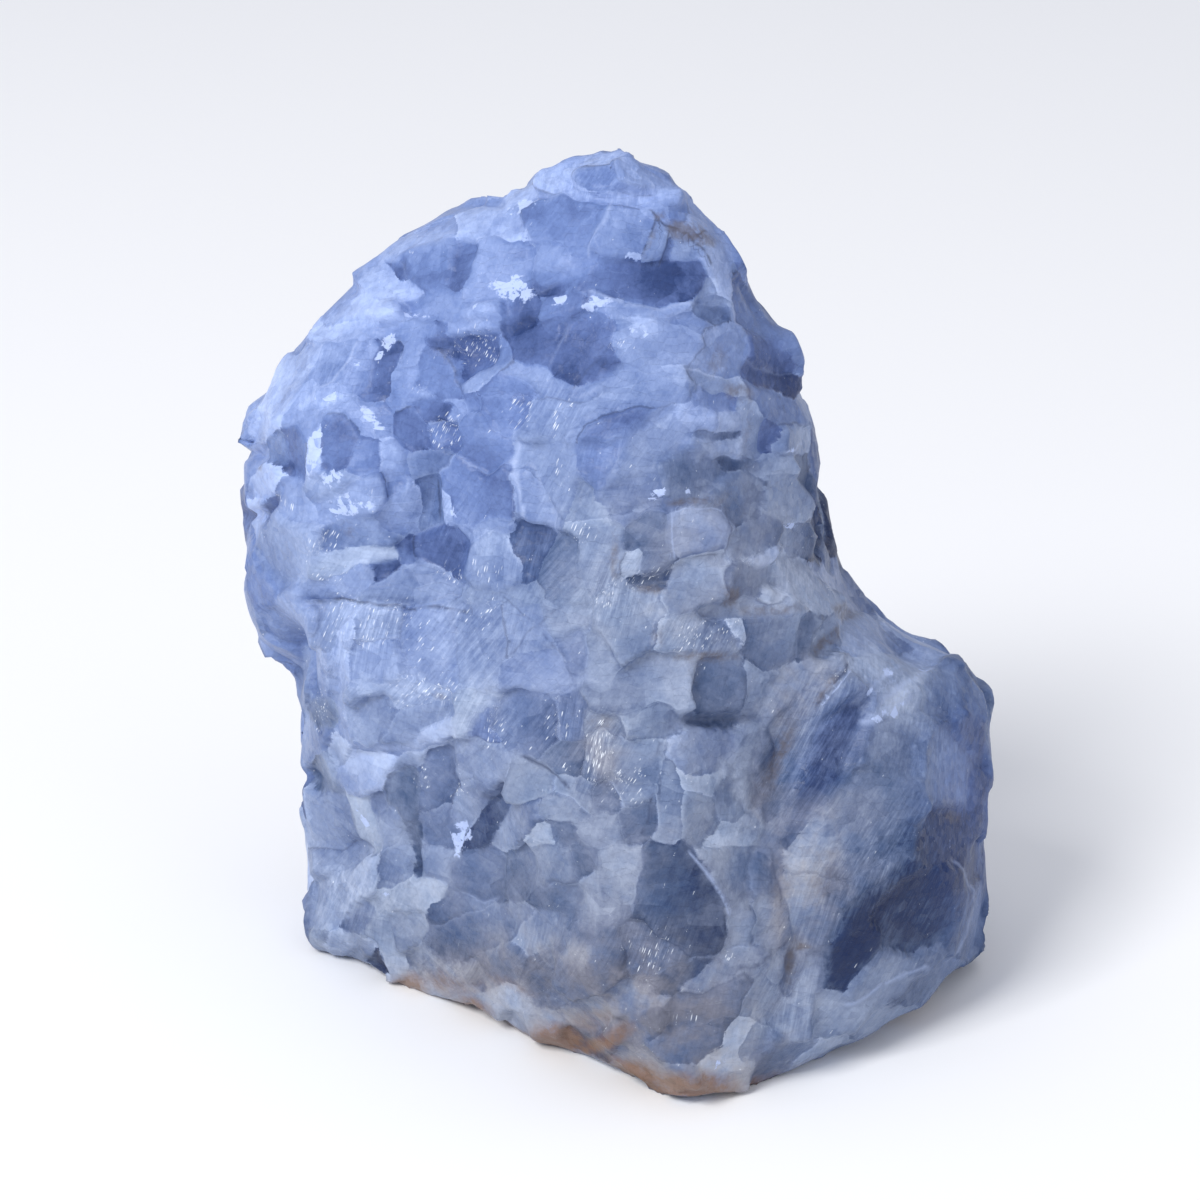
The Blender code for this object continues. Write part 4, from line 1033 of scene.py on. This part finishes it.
def carve(grains, base, chosen, gaps, middle, plane):
    """How far each spot moves along its facing, in millimetres: grain faces, lifts, grooves and hollows."""
    apart = (gaps - gaps[:, :1]) / 2.0
    weight = ease(1.0 - apart / FACE_BLEND)
    weight[:, 0] = 1.0
    weight /= weight.sum(1)[:, None]
    lean = (plane[chosen] * base.facings[:, None, :]).sum(2)
    height = ((middle[chosen] - base.points[:, None, :]) * plane[chosen]).sum(2)
    height = height / np.maximum(lean, FACE_STEEPEST)
    height = np.clip(height * FACE_FLATNESS, -FACE_MOST, FACE_MOST)
    height += np.array([grain.lift for grain in grains])[chosen] * LIFT_SHARE
    relief = (height * weight).sum(1)
    pair = np.sort(chosen[:, :2], axis=1)
    groove = pair_chance(pair[:, 0], pair[:, 1]) ** 2 * GROOVE_DEEPEST
    relief -= groove * ease(1.0 - apart[:, 1] / GROOVE_WIDE)
    held = OUTLINE_SHARE + (1.0 - OUTLINE_SHARE) * ease(np.abs(base.facing) / OUTLINE_TURN)
    nicked = held + (1.0 - held) * ease(base.points[:, 2] / NICKED_ABOVE)
    relief *= np.where(relief > 0.0, held, nicked)
    seen = faces_camera(base, past=0.5, over=0.3)
    for *place, depth in HOLLOWS.values():
        relief -= depth * soft_oval(base, place, fall=1.6, flat=2) * seen
    return relief * ease(base.points[:, 2] / LEVEL_BASE)


def write(mesh, name, domain, values):
    """Keeps a vector for each point or triangle corner, for the material to read."""
    layer = mesh.attributes.new(name, "FLOAT_VECTOR", domain)
    layer.data.foreach_set("vector", values.astype(np.float32).ravel())


def paint_grains(mesh, grains, spots, triangles, middle, rng):
    """Writes on each triangle which two grains meet there, and how far each corner is from their seam."""
    # Each grain is painted paler on one side, mostly the side towards the lamp: painted light.
    brighter = rng.normal(size=middle.shape) + DRIFT_TOWARDS
    brighter /= np.linalg.norm(brighter, axis=1)[:, None]
    corners = spots.points[triangles]
    centres = Spots(spots.points[triangles].mean(1), spots.facings[triangles].mean(1))
    pair = np.sort(nearest_grains(grains, centres, 2)[0], axis=1)
    gaps = np.zeros((2, len(triangles), 3))
    for place in range(2):
        order = np.argsort(pair[:, place], kind="stable")
        starts = np.flatnonzero(np.diff(pair[order, place], prepend=-1))
        for held in np.split(order, starts[1:]):
            grain = grains[pair[held[0], place]]
            gaps[place, held] = grain.gap(spots.take(triangles[held].ravel())).reshape(-1, 3)
    edge = (gaps[0] - gaps[1]) / 2.0
    kind = pair_chance(pair[:, 0], pair[:, 1]) * 2.0 - 1.0
    look = np.array([(grain.chance, grain.tone, grain.grey) for grain in grains])
    for name, which in (("grain_a", pair[:, 0]), ("grain_b", pair[:, 1])):
        painted = np.repeat(look[which][:, None, :], 3, axis=1)
        drift = ((corners - middle[which][:, None, :]) * brighter[which][:, None, :]).sum(2) * DRIFT_SLOPE
        painted[:, :, 1] += np.clip(drift, -DRIFT_MOST, DRIFT_MOST)
        write(mesh, name, "CORNER", painted)
    kinds = np.repeat(kind[:, None], 3, axis=1)
    write(mesh, "seam", "CORNER", np.stack([edge, kinds, np.zeros_like(edge)], 2))


def paint_faded(mesh, grains, chosen, gaps):
    """Writes the tone and greyness that each spot has where the grains run into each other."""
    weight = np.exp(-((gaps - gaps[:, :1]) / FADE_WIDE) ** 2)
    weight /= weight.sum(1)[:, None]
    look = np.array([(grain.tone, grain.grey, 0.0) for grain in grains])
    write(mesh, "faded", "POINT", (look[chosen] * weight[:, :, None]).sum(1))


def patches(spots, parts):
    """How strongly soft patches cover each spot."""
    seen = faces_camera(spots, past=0.05, over=0.15)
    cover = np.zeros(len(spots.points))
    for rows in parts.values():
        for *place, strength in rows:
            cover = np.maximum(cover, strength * soft_oval(spots, place, fall=0.9, flat=2.5) * seen)
    return cover


def thin_lines(spots):
    """Signed millimetres to the nearest thin line, half the line's width, and how pale or dark it is."""
    found = np.zeros((len(spots.points), 3))
    found[:, 0] = LINE_NONE_NEAR
    found[:, 1] = LINE_THINNEST
    for shade, half_width, text in LINES.values():
        bends = read_outline(text)
        for start, end in zip(bends[:-1], bends[1:]):
            length = np.linalg.norm(end - start)
            way = (end - start) / length
            from_start = spots.pixels - start
            along = from_start @ way
            beside = (from_start[:, 1] * way[0] - from_start[:, 0] * way[1]) * spots.pixel_size
            over = np.maximum(np.maximum(-along, along - length), 0.0) * spots.pixel_size
            closer = (np.abs(beside) + over < np.abs(found[:, 0])) & (spots.facing > 0.0)
            kept = ease(LINE_KEPT - np.abs(beside) / LINE_BESIDE)
            strength = shade * kept * ease(1.0 - over / LINE_PAST_END)
            found[closer] = np.stack([beside, np.full_like(beside, half_width), strength], 1)[closer]
    return found


def drifted(where, drift, above, strength):
    """Loose patches where a drift rises above a level."""
    return where * ease(drift - above) * strength


def paint_weather(mesh, spots, rng):
    """Writes where the surface is chalky, dirty, stained by iron or streaked, where glints are painted on, and
    its lines.
    """
    drift = {name: waves(spots.points, size, DRIFT_WAVES, rng)[:, 0] for name, size in DRIFT_SIZES.items()}
    hidden = 1.0 - faces_camera(spots, past=0.05, over=0.2)
    away = 1.0 - faces_camera(spots, past=0.3, over=0.3)
    behind = 1.0 - faces_camera(spots, past=0.4, over=0.4)
    low = ease(1.0 - spots.points[:, 2] / STAINED_BELOW)
    chalk = patches(spots, CHALK) * CHALK_SHARE + drifted(hidden, drift["chalk"], above=0.9, strength=0.7)
    dirt = patches(spots, DIRT) + drifted(away, drift["dirt"], above=1.2, strength=0.5)
    stained = drifted(hidden * low, drift["stain"] * STAIN_UNEVEN, above=-0.2, strength=0.9)
    stain = patches(spots, STAIN) + stained
    painted_glint = patches(spots, PAINTED_GLINTS) + drifted(hidden, drift["painted_glint"], above=0.9, strength=0.8)
    streak = patches(spots, STREAKS) + drifted(hidden, drift["streak"], above=0.2, strength=0.7)
    fade = patches(spots, FADES) + drifted(hidden, drift["stain"], above=-0.1, strength=0.6)
    write(mesh, "weather", "POINT", np.stack([chalk, dirt, stain], 1))
    write(mesh, "glint_streak_fade", "POINT", np.stack([painted_glint, streak, fade], 1))
    change = tint(spots)
    change[:, 0] += DRIFT_TONE * drift["streak"] * hidden
    change[:, 2] += drifted(hidden * behind, drift["dirt"], above=0.2, strength=0.25)
    write(mesh, "tint", "POINT", change)
    write(mesh, "lines", "POINT", thin_lines(spots))


def grow_calcite(stone):
    """Shapes the grains and writes what the material needs to colour them."""
    mesh = stone.data
    rng = np.random.default_rng(SEED)
    base = Spots(read_vectors(mesh.vertices, "co") / MM, read_vectors(mesh.vertices, "normal"))
    shift = waves(base.points, GRAIN_WOBBLE_SIZE, WOBBLE_WAVES, rng) * GRAIN_WOBBLE
    spots = Spots(base.points + shift, base.facings)
    grains = draw_grains(rng)
    lay_loose_grains(grains, spots, rng)
    chosen, gaps = nearest_grains(grains, spots, GRAINS_BLENDED)
    middle, plane = grain_faces(grains, base, chosen[:, 0], rng)
    relief = carve(grains, base, chosen, gaps, middle, plane)
    paint_grains(mesh, grains, spots, read_triangles(mesh), middle, rng)
    paint_faded(mesh, grains, chosen, gaps)
    paint_weather(mesh, spots, rng)
    shaped = base.points + base.facings * relief[:, None]
    shaped[:, 2] = np.maximum(shaped[:, 2], 0.0)
    mesh.vertices.foreach_set("co", (shaped * MM).astype(np.float32).ravel())
    mesh.update()


def paint(shade):
    """An sRGB hex colour as linear red, green, blue and alpha."""
    parts = [int(shade[k:k + 2], 16) / 255.0 for k in (1, 3, 5)]
    return tuple(c / 12.92 if c <= 0.04045 else ((c + 0.055) / 1.055) ** 2.4 for c in parts) + (1.0,)


def add(tree, kind, feeds=None, **settings):
    """Adds a node with its settings. Its inputs take values, sockets or other nodes' first outputs."""
    node = tree.nodes.new("ShaderNode" + kind)
    for name, value in settings.items():
        setattr(node, name, value)
    for name, value in (feeds or {}).items():
        if isinstance(value, bpy.types.Node):
            value = value.outputs[0]
        if isinstance(value, bpy.types.NodeSocket):
            tree.links.new(value, node.inputs[name])
        else:
            node.inputs[name].default_value = value
    return node


# The darkest and the palest tone that the colour ramps reach.
TONE_DARKEST, TONE_PALEST = -0.3, 1.15


def set_stops(ramp, stops):
    """Sets a colour ramp's stops, each at its tone."""
    while len(ramp.color_ramp.elements) > 1:
        ramp.color_ramp.elements.remove(ramp.color_ramp.elements[-1])
    for index, (place, shade) in enumerate(stops.items()):
        stop = ramp.color_ramp.elements[0] if index == 0 else ramp.color_ramp.elements.new(place)
        stop.position = (place - TONE_DARKEST) / (TONE_PALEST - TONE_DARKEST)
        stop.color = paint(shade)


# A Mix node's sockets for colours, by index: its names repeat.
MIX_FACTOR, MIX_A, MIX_B, MIX_OUT = 0, 6, 7, 2


def massive_blue_calcite():
    """Massive blue calcite, broken and rubbed: grains of cleaved crystal, milky and waxy."""
    material = bpy.data.materials.new("massive blue calcite")
    material.use_nodes = True
    tree = material.node_tree
    tree.nodes.clear()
    place = add(tree, "TexCoord").outputs["Object"]
    mm = add(tree, "Mapping", {"Vector": place, "Scale": (1000.0, 1000.0, 1000.0)})

    # Small crystals and splinters, clouds of milk, and the fine grain of a broken surface.
    long_way = add(tree, "Mapping", {"Vector": mm, "Rotation": (0.3, 0.9, 0.2), "Scale": (0.6, 1.0, 1.2)})
    crystal = add(tree, "TexVoronoi", {"Vector": long_way, "Scale": 0.30})
    splinter = add(tree, "TexVoronoi", {"Vector": long_way, "Scale": 0.80})
    cloud = add(tree, "TexNoise", {"Vector": mm, "Scale": 0.16, "Detail": 4.0, "Roughness": 0.6})
    fleck = add(tree, "TexNoise", {"Vector": mm, "Scale": 0.9, "Detail": 4.0, "Roughness": 0.75})
    crystal_tone = add(tree, "SeparateColor", {0: crystal.outputs["Color"]})
    splinter_tone = add(tree, "SeparateColor", {0: splinter.outputs["Color"]})

    shard = add(tree, "Math", {0: splinter_tone, 1: 0.5}, operation="SUBTRACT")
    block = add(tree, "Math", {0: crystal_tone, 1: 0.5}, operation="SUBTRACT")

    # Which grain: the two that meet here, either side of a seam that follows the small crystals. Some seams
    # blur, and where the stone is milky the grains fade into each other.
    grain_a = add(tree, "Attribute", attribute_name="grain_a").outputs["Vector"]
    grain_b = add(tree, "Attribute", attribute_name="grain_b").outputs["Vector"]
    carried = {}
    for name in ("seam", "glint_streak_fade", "faded", "tint", "lines", "weather"):
        kept = add(tree, "Attribute", attribute_name=name).outputs["Vector"]
        carried[name] = add(tree, "SeparateXYZ", {0: kept}).outputs
    seam = carried["seam"]
    shift = add(tree, "Math", {0: fleck, 1: 0.5}, operation="SUBTRACT")
    edge = add(tree, "Math", {0: shift, 1: 0.6, 2: seam["X"]}, operation="MULTIPLY_ADD")
    edge = add(tree, "Math", {0: shard, 1: 0.14, 2: edge}, operation="MULTIPLY_ADD")
    edge = add(tree, "Math", {0: block, 1: 0.22, 2: edge}, operation="MULTIPLY_ADD")
    glint_streak_fade = carried["glint_streak_fade"]
    blur = add(tree, "MapRange", {
        "Value": cloud, "From Min": 0.44, "From Max": 0.66, "To Min": 0.07, "To Max": 0.5,
    })
    unblur = add(tree, "Math", {0: blur, 1: -1.0}, operation="MULTIPLY")
    side = add(
        tree, "MapRange", {"Value": edge, "From Min": unblur, "From Max": blur},
        interpolation_type="SMOOTHSTEP",
    )
    grain = add(tree, "Mix", {0: side, 4: grain_a, 5: grain_b}, data_type="VECTOR")
    look = add(tree, "SeparateXYZ", {0: grain.outputs[1]})
    clear = add(tree, "MapRange", {"Value": cloud, "From Min": 0.48, "From Max": 0.66, "To Max": 0.6})
    clear = add(tree, "Math", {0: clear, 1: glint_streak_fade["Z"]}, operation="ADD", use_clamp=True)
    faded = carried["faded"]
    grain_tone = add(tree, "Mix", {0: clear, 2: look.outputs["Y"], 3: faded["X"]}, data_type="FLOAT")
    grain_grey = add(tree, "Mix", {0: clear, 2: look.outputs["Z"], 3: faded["Y"]}, data_type="FLOAT")

    # Cleavage shows as fine parallel streaks, leaning a little differently in every grain.
    turn = add(tree, "MapRange", {"Value": look.outputs["X"], "To Min": 0.85, "To Max": 1.45})
    turned = add(tree, "VectorRotate", {"Vector": mm, "Angle": turn}, rotation_type="Y_AXIS")
    drawn = add(tree, "Mapping", {"Vector": turned, "Scale": (0.15, 0.5, 2.2)})
    streak = add(tree, "TexNoise", {"Vector": drawn, "Scale": 1.0, "Detail": 3.0, "Roughness": 0.7})
    streaky = add(tree, "MapRange", {"Value": glint_streak_fade["Y"], "To Min": 0.05, "To Max": 0.30})
    streak_tone = add(tree, "MapRange", {"Value": streak, "From Min": 0.40, "From Max": 0.66})
    tone = add(tree, "Math", {0: grain_tone.outputs[0], 1: 1.2, 2: -0.11}, operation="MULTIPLY_ADD")
    for source, amount in (
        (crystal_tone, 0.11), (splinter_tone, 0.06), (cloud, 0.55), (fleck, 0.36), (streak_tone, streaky)
    ):
        centred = add(tree, "Math", {0: source, 1: 0.5}, operation="SUBTRACT")
        tone = add(tree, "Math", {0: centred, 1: amount, 2: tone}, operation="MULTIPLY_ADD")

    # Where a seam is sharp, one side of it catches the light and the other is in shade.
    crisp = add(tree, "MapRange", {"Value": clear, "From Min": 0.6, "From Max": 0.0})
    near_seam = add(tree, "Math", {0: edge}, operation="ABSOLUTE")
    hand = add(tree, "Math", {0: seam["Y"], 1: edge}, operation="MULTIPLY")
    pale_side = add(tree, "Math", {0: hand, 1: 0.0}, operation="GREATER_THAN")
    rim_tone = add(tree, "MapRange", {"Value": pale_side, "To Min": -0.09, "To Max": 0.09})
    rim = add(
        tree, "MapRange", {"Value": near_seam, "From Min": 0.6, "From Max": 0.0},
        interpolation_type="SMOOTHSTEP",
    )
    rim = add(tree, "Math", {0: rim, 1: crisp}, operation="MULTIPLY")
    tone = add(tree, "Math", {0: rim, 1: rim_tone, 2: tone}, operation="MULTIPLY_ADD")
    # Wide soft areas shift the tone, partly as painted light and shade.
    area = carried["tint"]
    tone = add(tree, "Math", {0: tone, 1: area["X"]}, operation="ADD")
    tone = add(tree, "Math", {0: tone, 1: 1.06, 2: -0.045}, operation="MULTIPLY_ADD")
    greyness = add(
        tree, "Math", {0: grain_grey.outputs[0], 1: area["Y"]}, operation="ADD", use_clamp=True
    )
    reach = add(tree, "MapRange", {"Value": tone, "From Min": TONE_DARKEST, "From Max": TONE_PALEST})
    blue = add(tree, "ValToRGB", {0: reach})
    set_stops(blue, {
        -0.3: "#1b2c58", 0.0: "#304372", 0.25: "#4e6193", 0.5: "#657baf", 0.75: "#8296c6", 1.0: "#a6b9e4",
        1.15: "#b6c8ee",
    })
    grey = add(tree, "ValToRGB", {0: reach})
    set_stops(grey, {
        -0.3: "#061d48", 0.0: "#142b56", 0.25: "#3a4f74", 0.5: "#5e6f91", 0.75: "#8090ae", 1.0: "#a3b2cd",
        1.15: "#b5c3db",
    })
    body = add(tree, "Mix", {MIX_FACTOR: greyness, MIX_A: blue, MIX_B: grey}, data_type="RGBA")
    tan = add(tree, "ValToRGB", {0: reach})
    set_stops(tan, {-0.3: "#222a3c", 0.0: "#3a3f4e", 0.5: "#707281", 1.0: "#a5a6ae"})
    tanned = add(tree, "MapRange", {
        "Value": cloud, "From Min": 0.35, "From Max": 0.6, "To Min": 0.15, "To Max": 0.75,
    })
    tanned = add(tree, "Math", {0: tanned, 1: area["Z"]}, operation="MULTIPLY", use_clamp=True)
    source = body.outputs[MIX_OUT]
    body = add(tree, "Mix", {MIX_FACTOR: tanned, MIX_A: source, MIX_B: tan}, data_type="RGBA")

    # Seams: most are only a change of tone, some are healed with pale calcite, a few are open and dark.
    healed = add(tree, "MapRange", {
        "Value": seam["Y"], "From Min": 0.2, "From Max": 1.0, "To Max": 0.3,
    })
    vein = add(
        tree, "MapRange", {"Value": near_seam, "From Min": 0.28, "From Max": 0.0},
        interpolation_type="SMOOTHSTEP",
    )
    vein = add(tree, "Math", {0: vein, 1: crisp}, operation="MULTIPLY")
    vein_amount = add(tree, "Math", {0: vein, 1: healed}, operation="MULTIPLY")
    opened = add(tree, "MapRange", {
        "Value": seam["Y"], "From Min": -0.8, "From Max": -1.0, "To Max": 0.6,
    })
    crack = add(
        tree, "MapRange", {"Value": near_seam, "From Min": 0.25, "From Max": 0.0},
        interpolation_type="SMOOTHSTEP",
    )
    crack_amount = add(tree, "Math", {0: crack, 1: opened}, operation="MULTIPLY")

    # The listed thin lines.
    lines = carried["lines"]
    line_gap = add(tree, "Math", {0: shift, 1: 0.5, 2: lines["X"]}, operation="MULTIPLY_ADD")
    from_line = add(tree, "Math", {0: line_gap}, operation="ABSOLUTE")
    on_line = add(tree, "MapRange", {"Value": from_line, "From Min": lines["Y"], "From Max": 0.0})
    line = add(tree, "Math", {0: on_line, 1: lines["Z"]}, operation="MULTIPLY")
    pale_line = add(tree, "Math", {0: line, 1: vein_amount}, operation="MAXIMUM", use_clamp=True)
    dark_line = add(tree, "Math", {0: line, 1: -1.0}, operation="MULTIPLY")
    dark_line = add(tree, "Math", {0: dark_line, 1: crack_amount}, operation="MAXIMUM", use_clamp=True)

    # Weather: chalk crust, brown dirt and iron stain, each with a ragged edge, and painted glints: white specks
    # that stand in for light caught by small cleavage faces.
    weather = carried["weather"]
    crumb = add(tree, "TexNoise", {"Vector": mm, "Scale": 0.7, "Detail": 3.0, "Roughness": 0.7})
    crumb_shift = add(tree, "Math", {0: crumb, 1: 0.5}, operation="SUBTRACT")
    shard_shift = add(tree, "Math", {0: shard, 1: 0.35, 2: crumb_shift}, operation="MULTIPLY_ADD")
    ragged = {}
    for name, socket, shape, sharp, raggedness in (
        ("chalk", weather["X"], shard_shift, 0.08, 3.4),
        ("dirt", weather["Y"], crumb_shift, 0.28, 2.6),
        ("stain", weather["Z"], crumb_shift, 0.35, 1.6),
    ):
        torn = add(tree, "Math", {0: shape, 1: raggedness, 2: 1.0}, operation="MULTIPLY_ADD")
        covered = add(tree, "Math", {0: torn, 1: socket}, operation="MULTIPLY")
        ragged[name] = add(tree, "MapRange", {
            "Value": covered, "From Min": 0.5 - sharp, "From Max": 0.5 + sharp,
        })
    from_crack = add(tree, "Math", {0: crumb_shift}, operation="ABSOLUTE")
    in_crack = add(tree, "MapRange", {"Value": from_crack, "From Min": 0.035, "From Max": 0.0})
    in_crack = add(tree, "Math", {0: in_crack, 1: weather["Y"]}, operation="MULTIPLY")
    dirt = add(tree, "Math", {0: ragged["dirt"], 1: 0.75}, operation="MULTIPLY")
    dirt = add(tree, "Math", {0: dirt, 1: in_crack}, operation="MAXIMUM")
    glint_space = add(tree, "Mapping", {"Vector": turned, "Scale": (0.75, 2.6, 6.0)})
    glint_cells = add(tree, "TexVoronoi", {"Vector": glint_space, "Scale": 1.0})
    glint_chance = add(tree, "SeparateColor", {0: glint_cells.outputs["Color"]})
    glinting = add(tree, "MapRange", {"Value": glint_streak_fade["X"], "To Min": 1.02, "To Max": 0.3})
    glinting = add(tree, "Math", {0: shift, 1: -0.4, 2: glinting}, operation="MULTIPLY_ADD")
    lit = add(tree, "Math", {0: glint_chance, 1: glinting}, operation="GREATER_THAN")
    thin = add(tree, "MapRange", {"Value": glint_cells.outputs["Distance"], "From Min": 0.5, "From Max": 0.25})
    shine = add(tree, "Math", {0: glint_chance.outputs["Green"], 1: 0.8}, operation="POWER")
    painted_glints = add(tree, "Math", {0: lit, 1: thin}, operation="MULTIPLY")
    painted_glints = add(tree, "Math", {0: painted_glints, 1: shine}, operation="MULTIPLY")

    # Lines, dirt, stain and chalk, then the painted glints, which are painted highlights in near white.
    colour = body
    for factor, strength, shade in (
        (pale_line, 0.8, "#a9b9de"), (dark_line, 0.85, "#353f5c"), (dirt, 0.75, "#5d534f"),
        (ragged["stain"], 0.8, "#806149"), (ragged["chalk"], 0.8, "#b9c9ee"), (painted_glints, 0.85, "#f2f8ff"),
    ):
        amount = add(tree, "Math", {0: factor, 1: strength}, operation="MULTIPLY")
        source = colour.outputs[MIX_OUT]
        colour = add(tree, "Mix", {MIX_FACTOR: amount, MIX_A: source, MIX_B: paint(shade)}, data_type="RGBA")

    # Relief too fine for the mesh, in millimetres: each small crystal is a tilted face.
    away = add(tree, "VectorMath", {0: long_way, 1: splinter.outputs["Position"]}, operation="SUBTRACT")
    lean = add(tree, "VectorMath", {0: splinter.outputs["Color"], 1: (0.5, 0.5, 0.5)}, operation="SUBTRACT")
    rise = add(tree, "VectorMath", {0: away, 1: lean}, operation="DOT_PRODUCT").outputs["Value"]
    height = add(tree, "Math", {0: fleck, 1: 0.14}, operation="MULTIPLY")
    height = add(tree, "Math", {0: rise, 1: 0.26, 2: height}, operation="MULTIPLY_ADD")
    relief = add(tree, "Bump", {"Height": height, "Distance": MM, "Strength": 1.0})

    polish = add(tree, "MapRange", {
        "Value": cloud, "From Min": 0.35, "From Max": 0.65, "To Min": 0.30, "To Max": 0.48,
    })
    chalky = add(
        tree, "Math", {0: ragged["chalk"], 1: 0.4, 2: polish}, operation="MULTIPLY_ADD", use_clamp=True
    )
    skin = add(tree, "BsdfPrincipled", {
        "Base Color": colour.outputs[MIX_OUT],
        "Roughness": chalky,
        "IOR": 1.6,
        "Specular IOR Level": 0.18,
        "Normal": relief,
    })
    add(tree, "OutputMaterial", {"Surface": skin})
    return material


def lay_floor():
    """A plain pale floor, which shows only the stone's soft shadow."""
    board = bmesh.new()
    bmesh.ops.create_grid(board, x_segments=1, y_segments=1, size=FLOOR_REACH)
    mesh = bpy.data.meshes.new("pale_floor")
    board.to_mesh(mesh)
    board.free()
    floor = bpy.data.objects.new("pale_floor", mesh)
    bpy.context.scene.collection.objects.link(floor)
    material = bpy.data.materials.new("matt white card")
    material.use_nodes = True
    card = material.node_tree.nodes["Principled BSDF"]
    card.inputs["Base Color"].default_value = paint("#f7f7f7")
    card.inputs["Roughness"].default_value = 0.9
    mesh.materials.append(material)


def hang_lamp(name, place, size, power, shade):
    """A square soft lamp, aimed at the stone's middle."""
    lamp = bpy.data.lights.new(name, "AREA")
    lamp.size = size
    lamp.energy = power
    lamp.color = paint(shade)[:3]
    stand = bpy.data.objects.new(name, lamp)
    stand.location = place
    stand.rotation_euler = (AIM - Vector(place)).to_track_quat("-Z", "Y").to_euler()
    bpy.context.scene.collection.objects.link(stand)


def light_studio():
    """A soft window up to the left, a weak fill to the right, and an even pale surround."""
    hang_lamp("window", place=(-0.75, -0.9, 1.15), size=0.6, power=19.5, shade="#ffffff")
    hang_lamp("fill", place=(1.1, -1.0, 0.5), size=1.2, power=4.0, shade="#f4f6ff")
    world = bpy.data.worlds.new("studio")
    world.use_nodes = True
    sky = world.node_tree.nodes["Background"]
    sky.inputs["Color"].default_value = paint("#f2f5ff")
    sky.inputs["Strength"].default_value = 0.66
    bpy.context.scene.world = world
    bpy.context.scene.view_settings.view_transform = "Standard"


def stand_camera():
    """Stands the camera where the picture was taken from."""
    camera = bpy.data.cameras.new("camera")
    camera.lens = LENS
    camera.sensor_width = SENSOR
    stand = bpy.data.objects.new("camera", camera)
    stand.location = EYE
    stand.rotation_euler = FORWARD.to_track_quat("-Z", "Y").to_euler()
    bpy.context.scene.collection.objects.link(stand)
    bpy.context.scene.camera = stand


stand_camera()
light_studio()
lay_floor()
stone = make_skin(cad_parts["calcite_lump"])
grow_calcite(stone)
stone.data.materials.append(massive_blue_calcite())
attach(stone, "root")
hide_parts("calcite_lump")
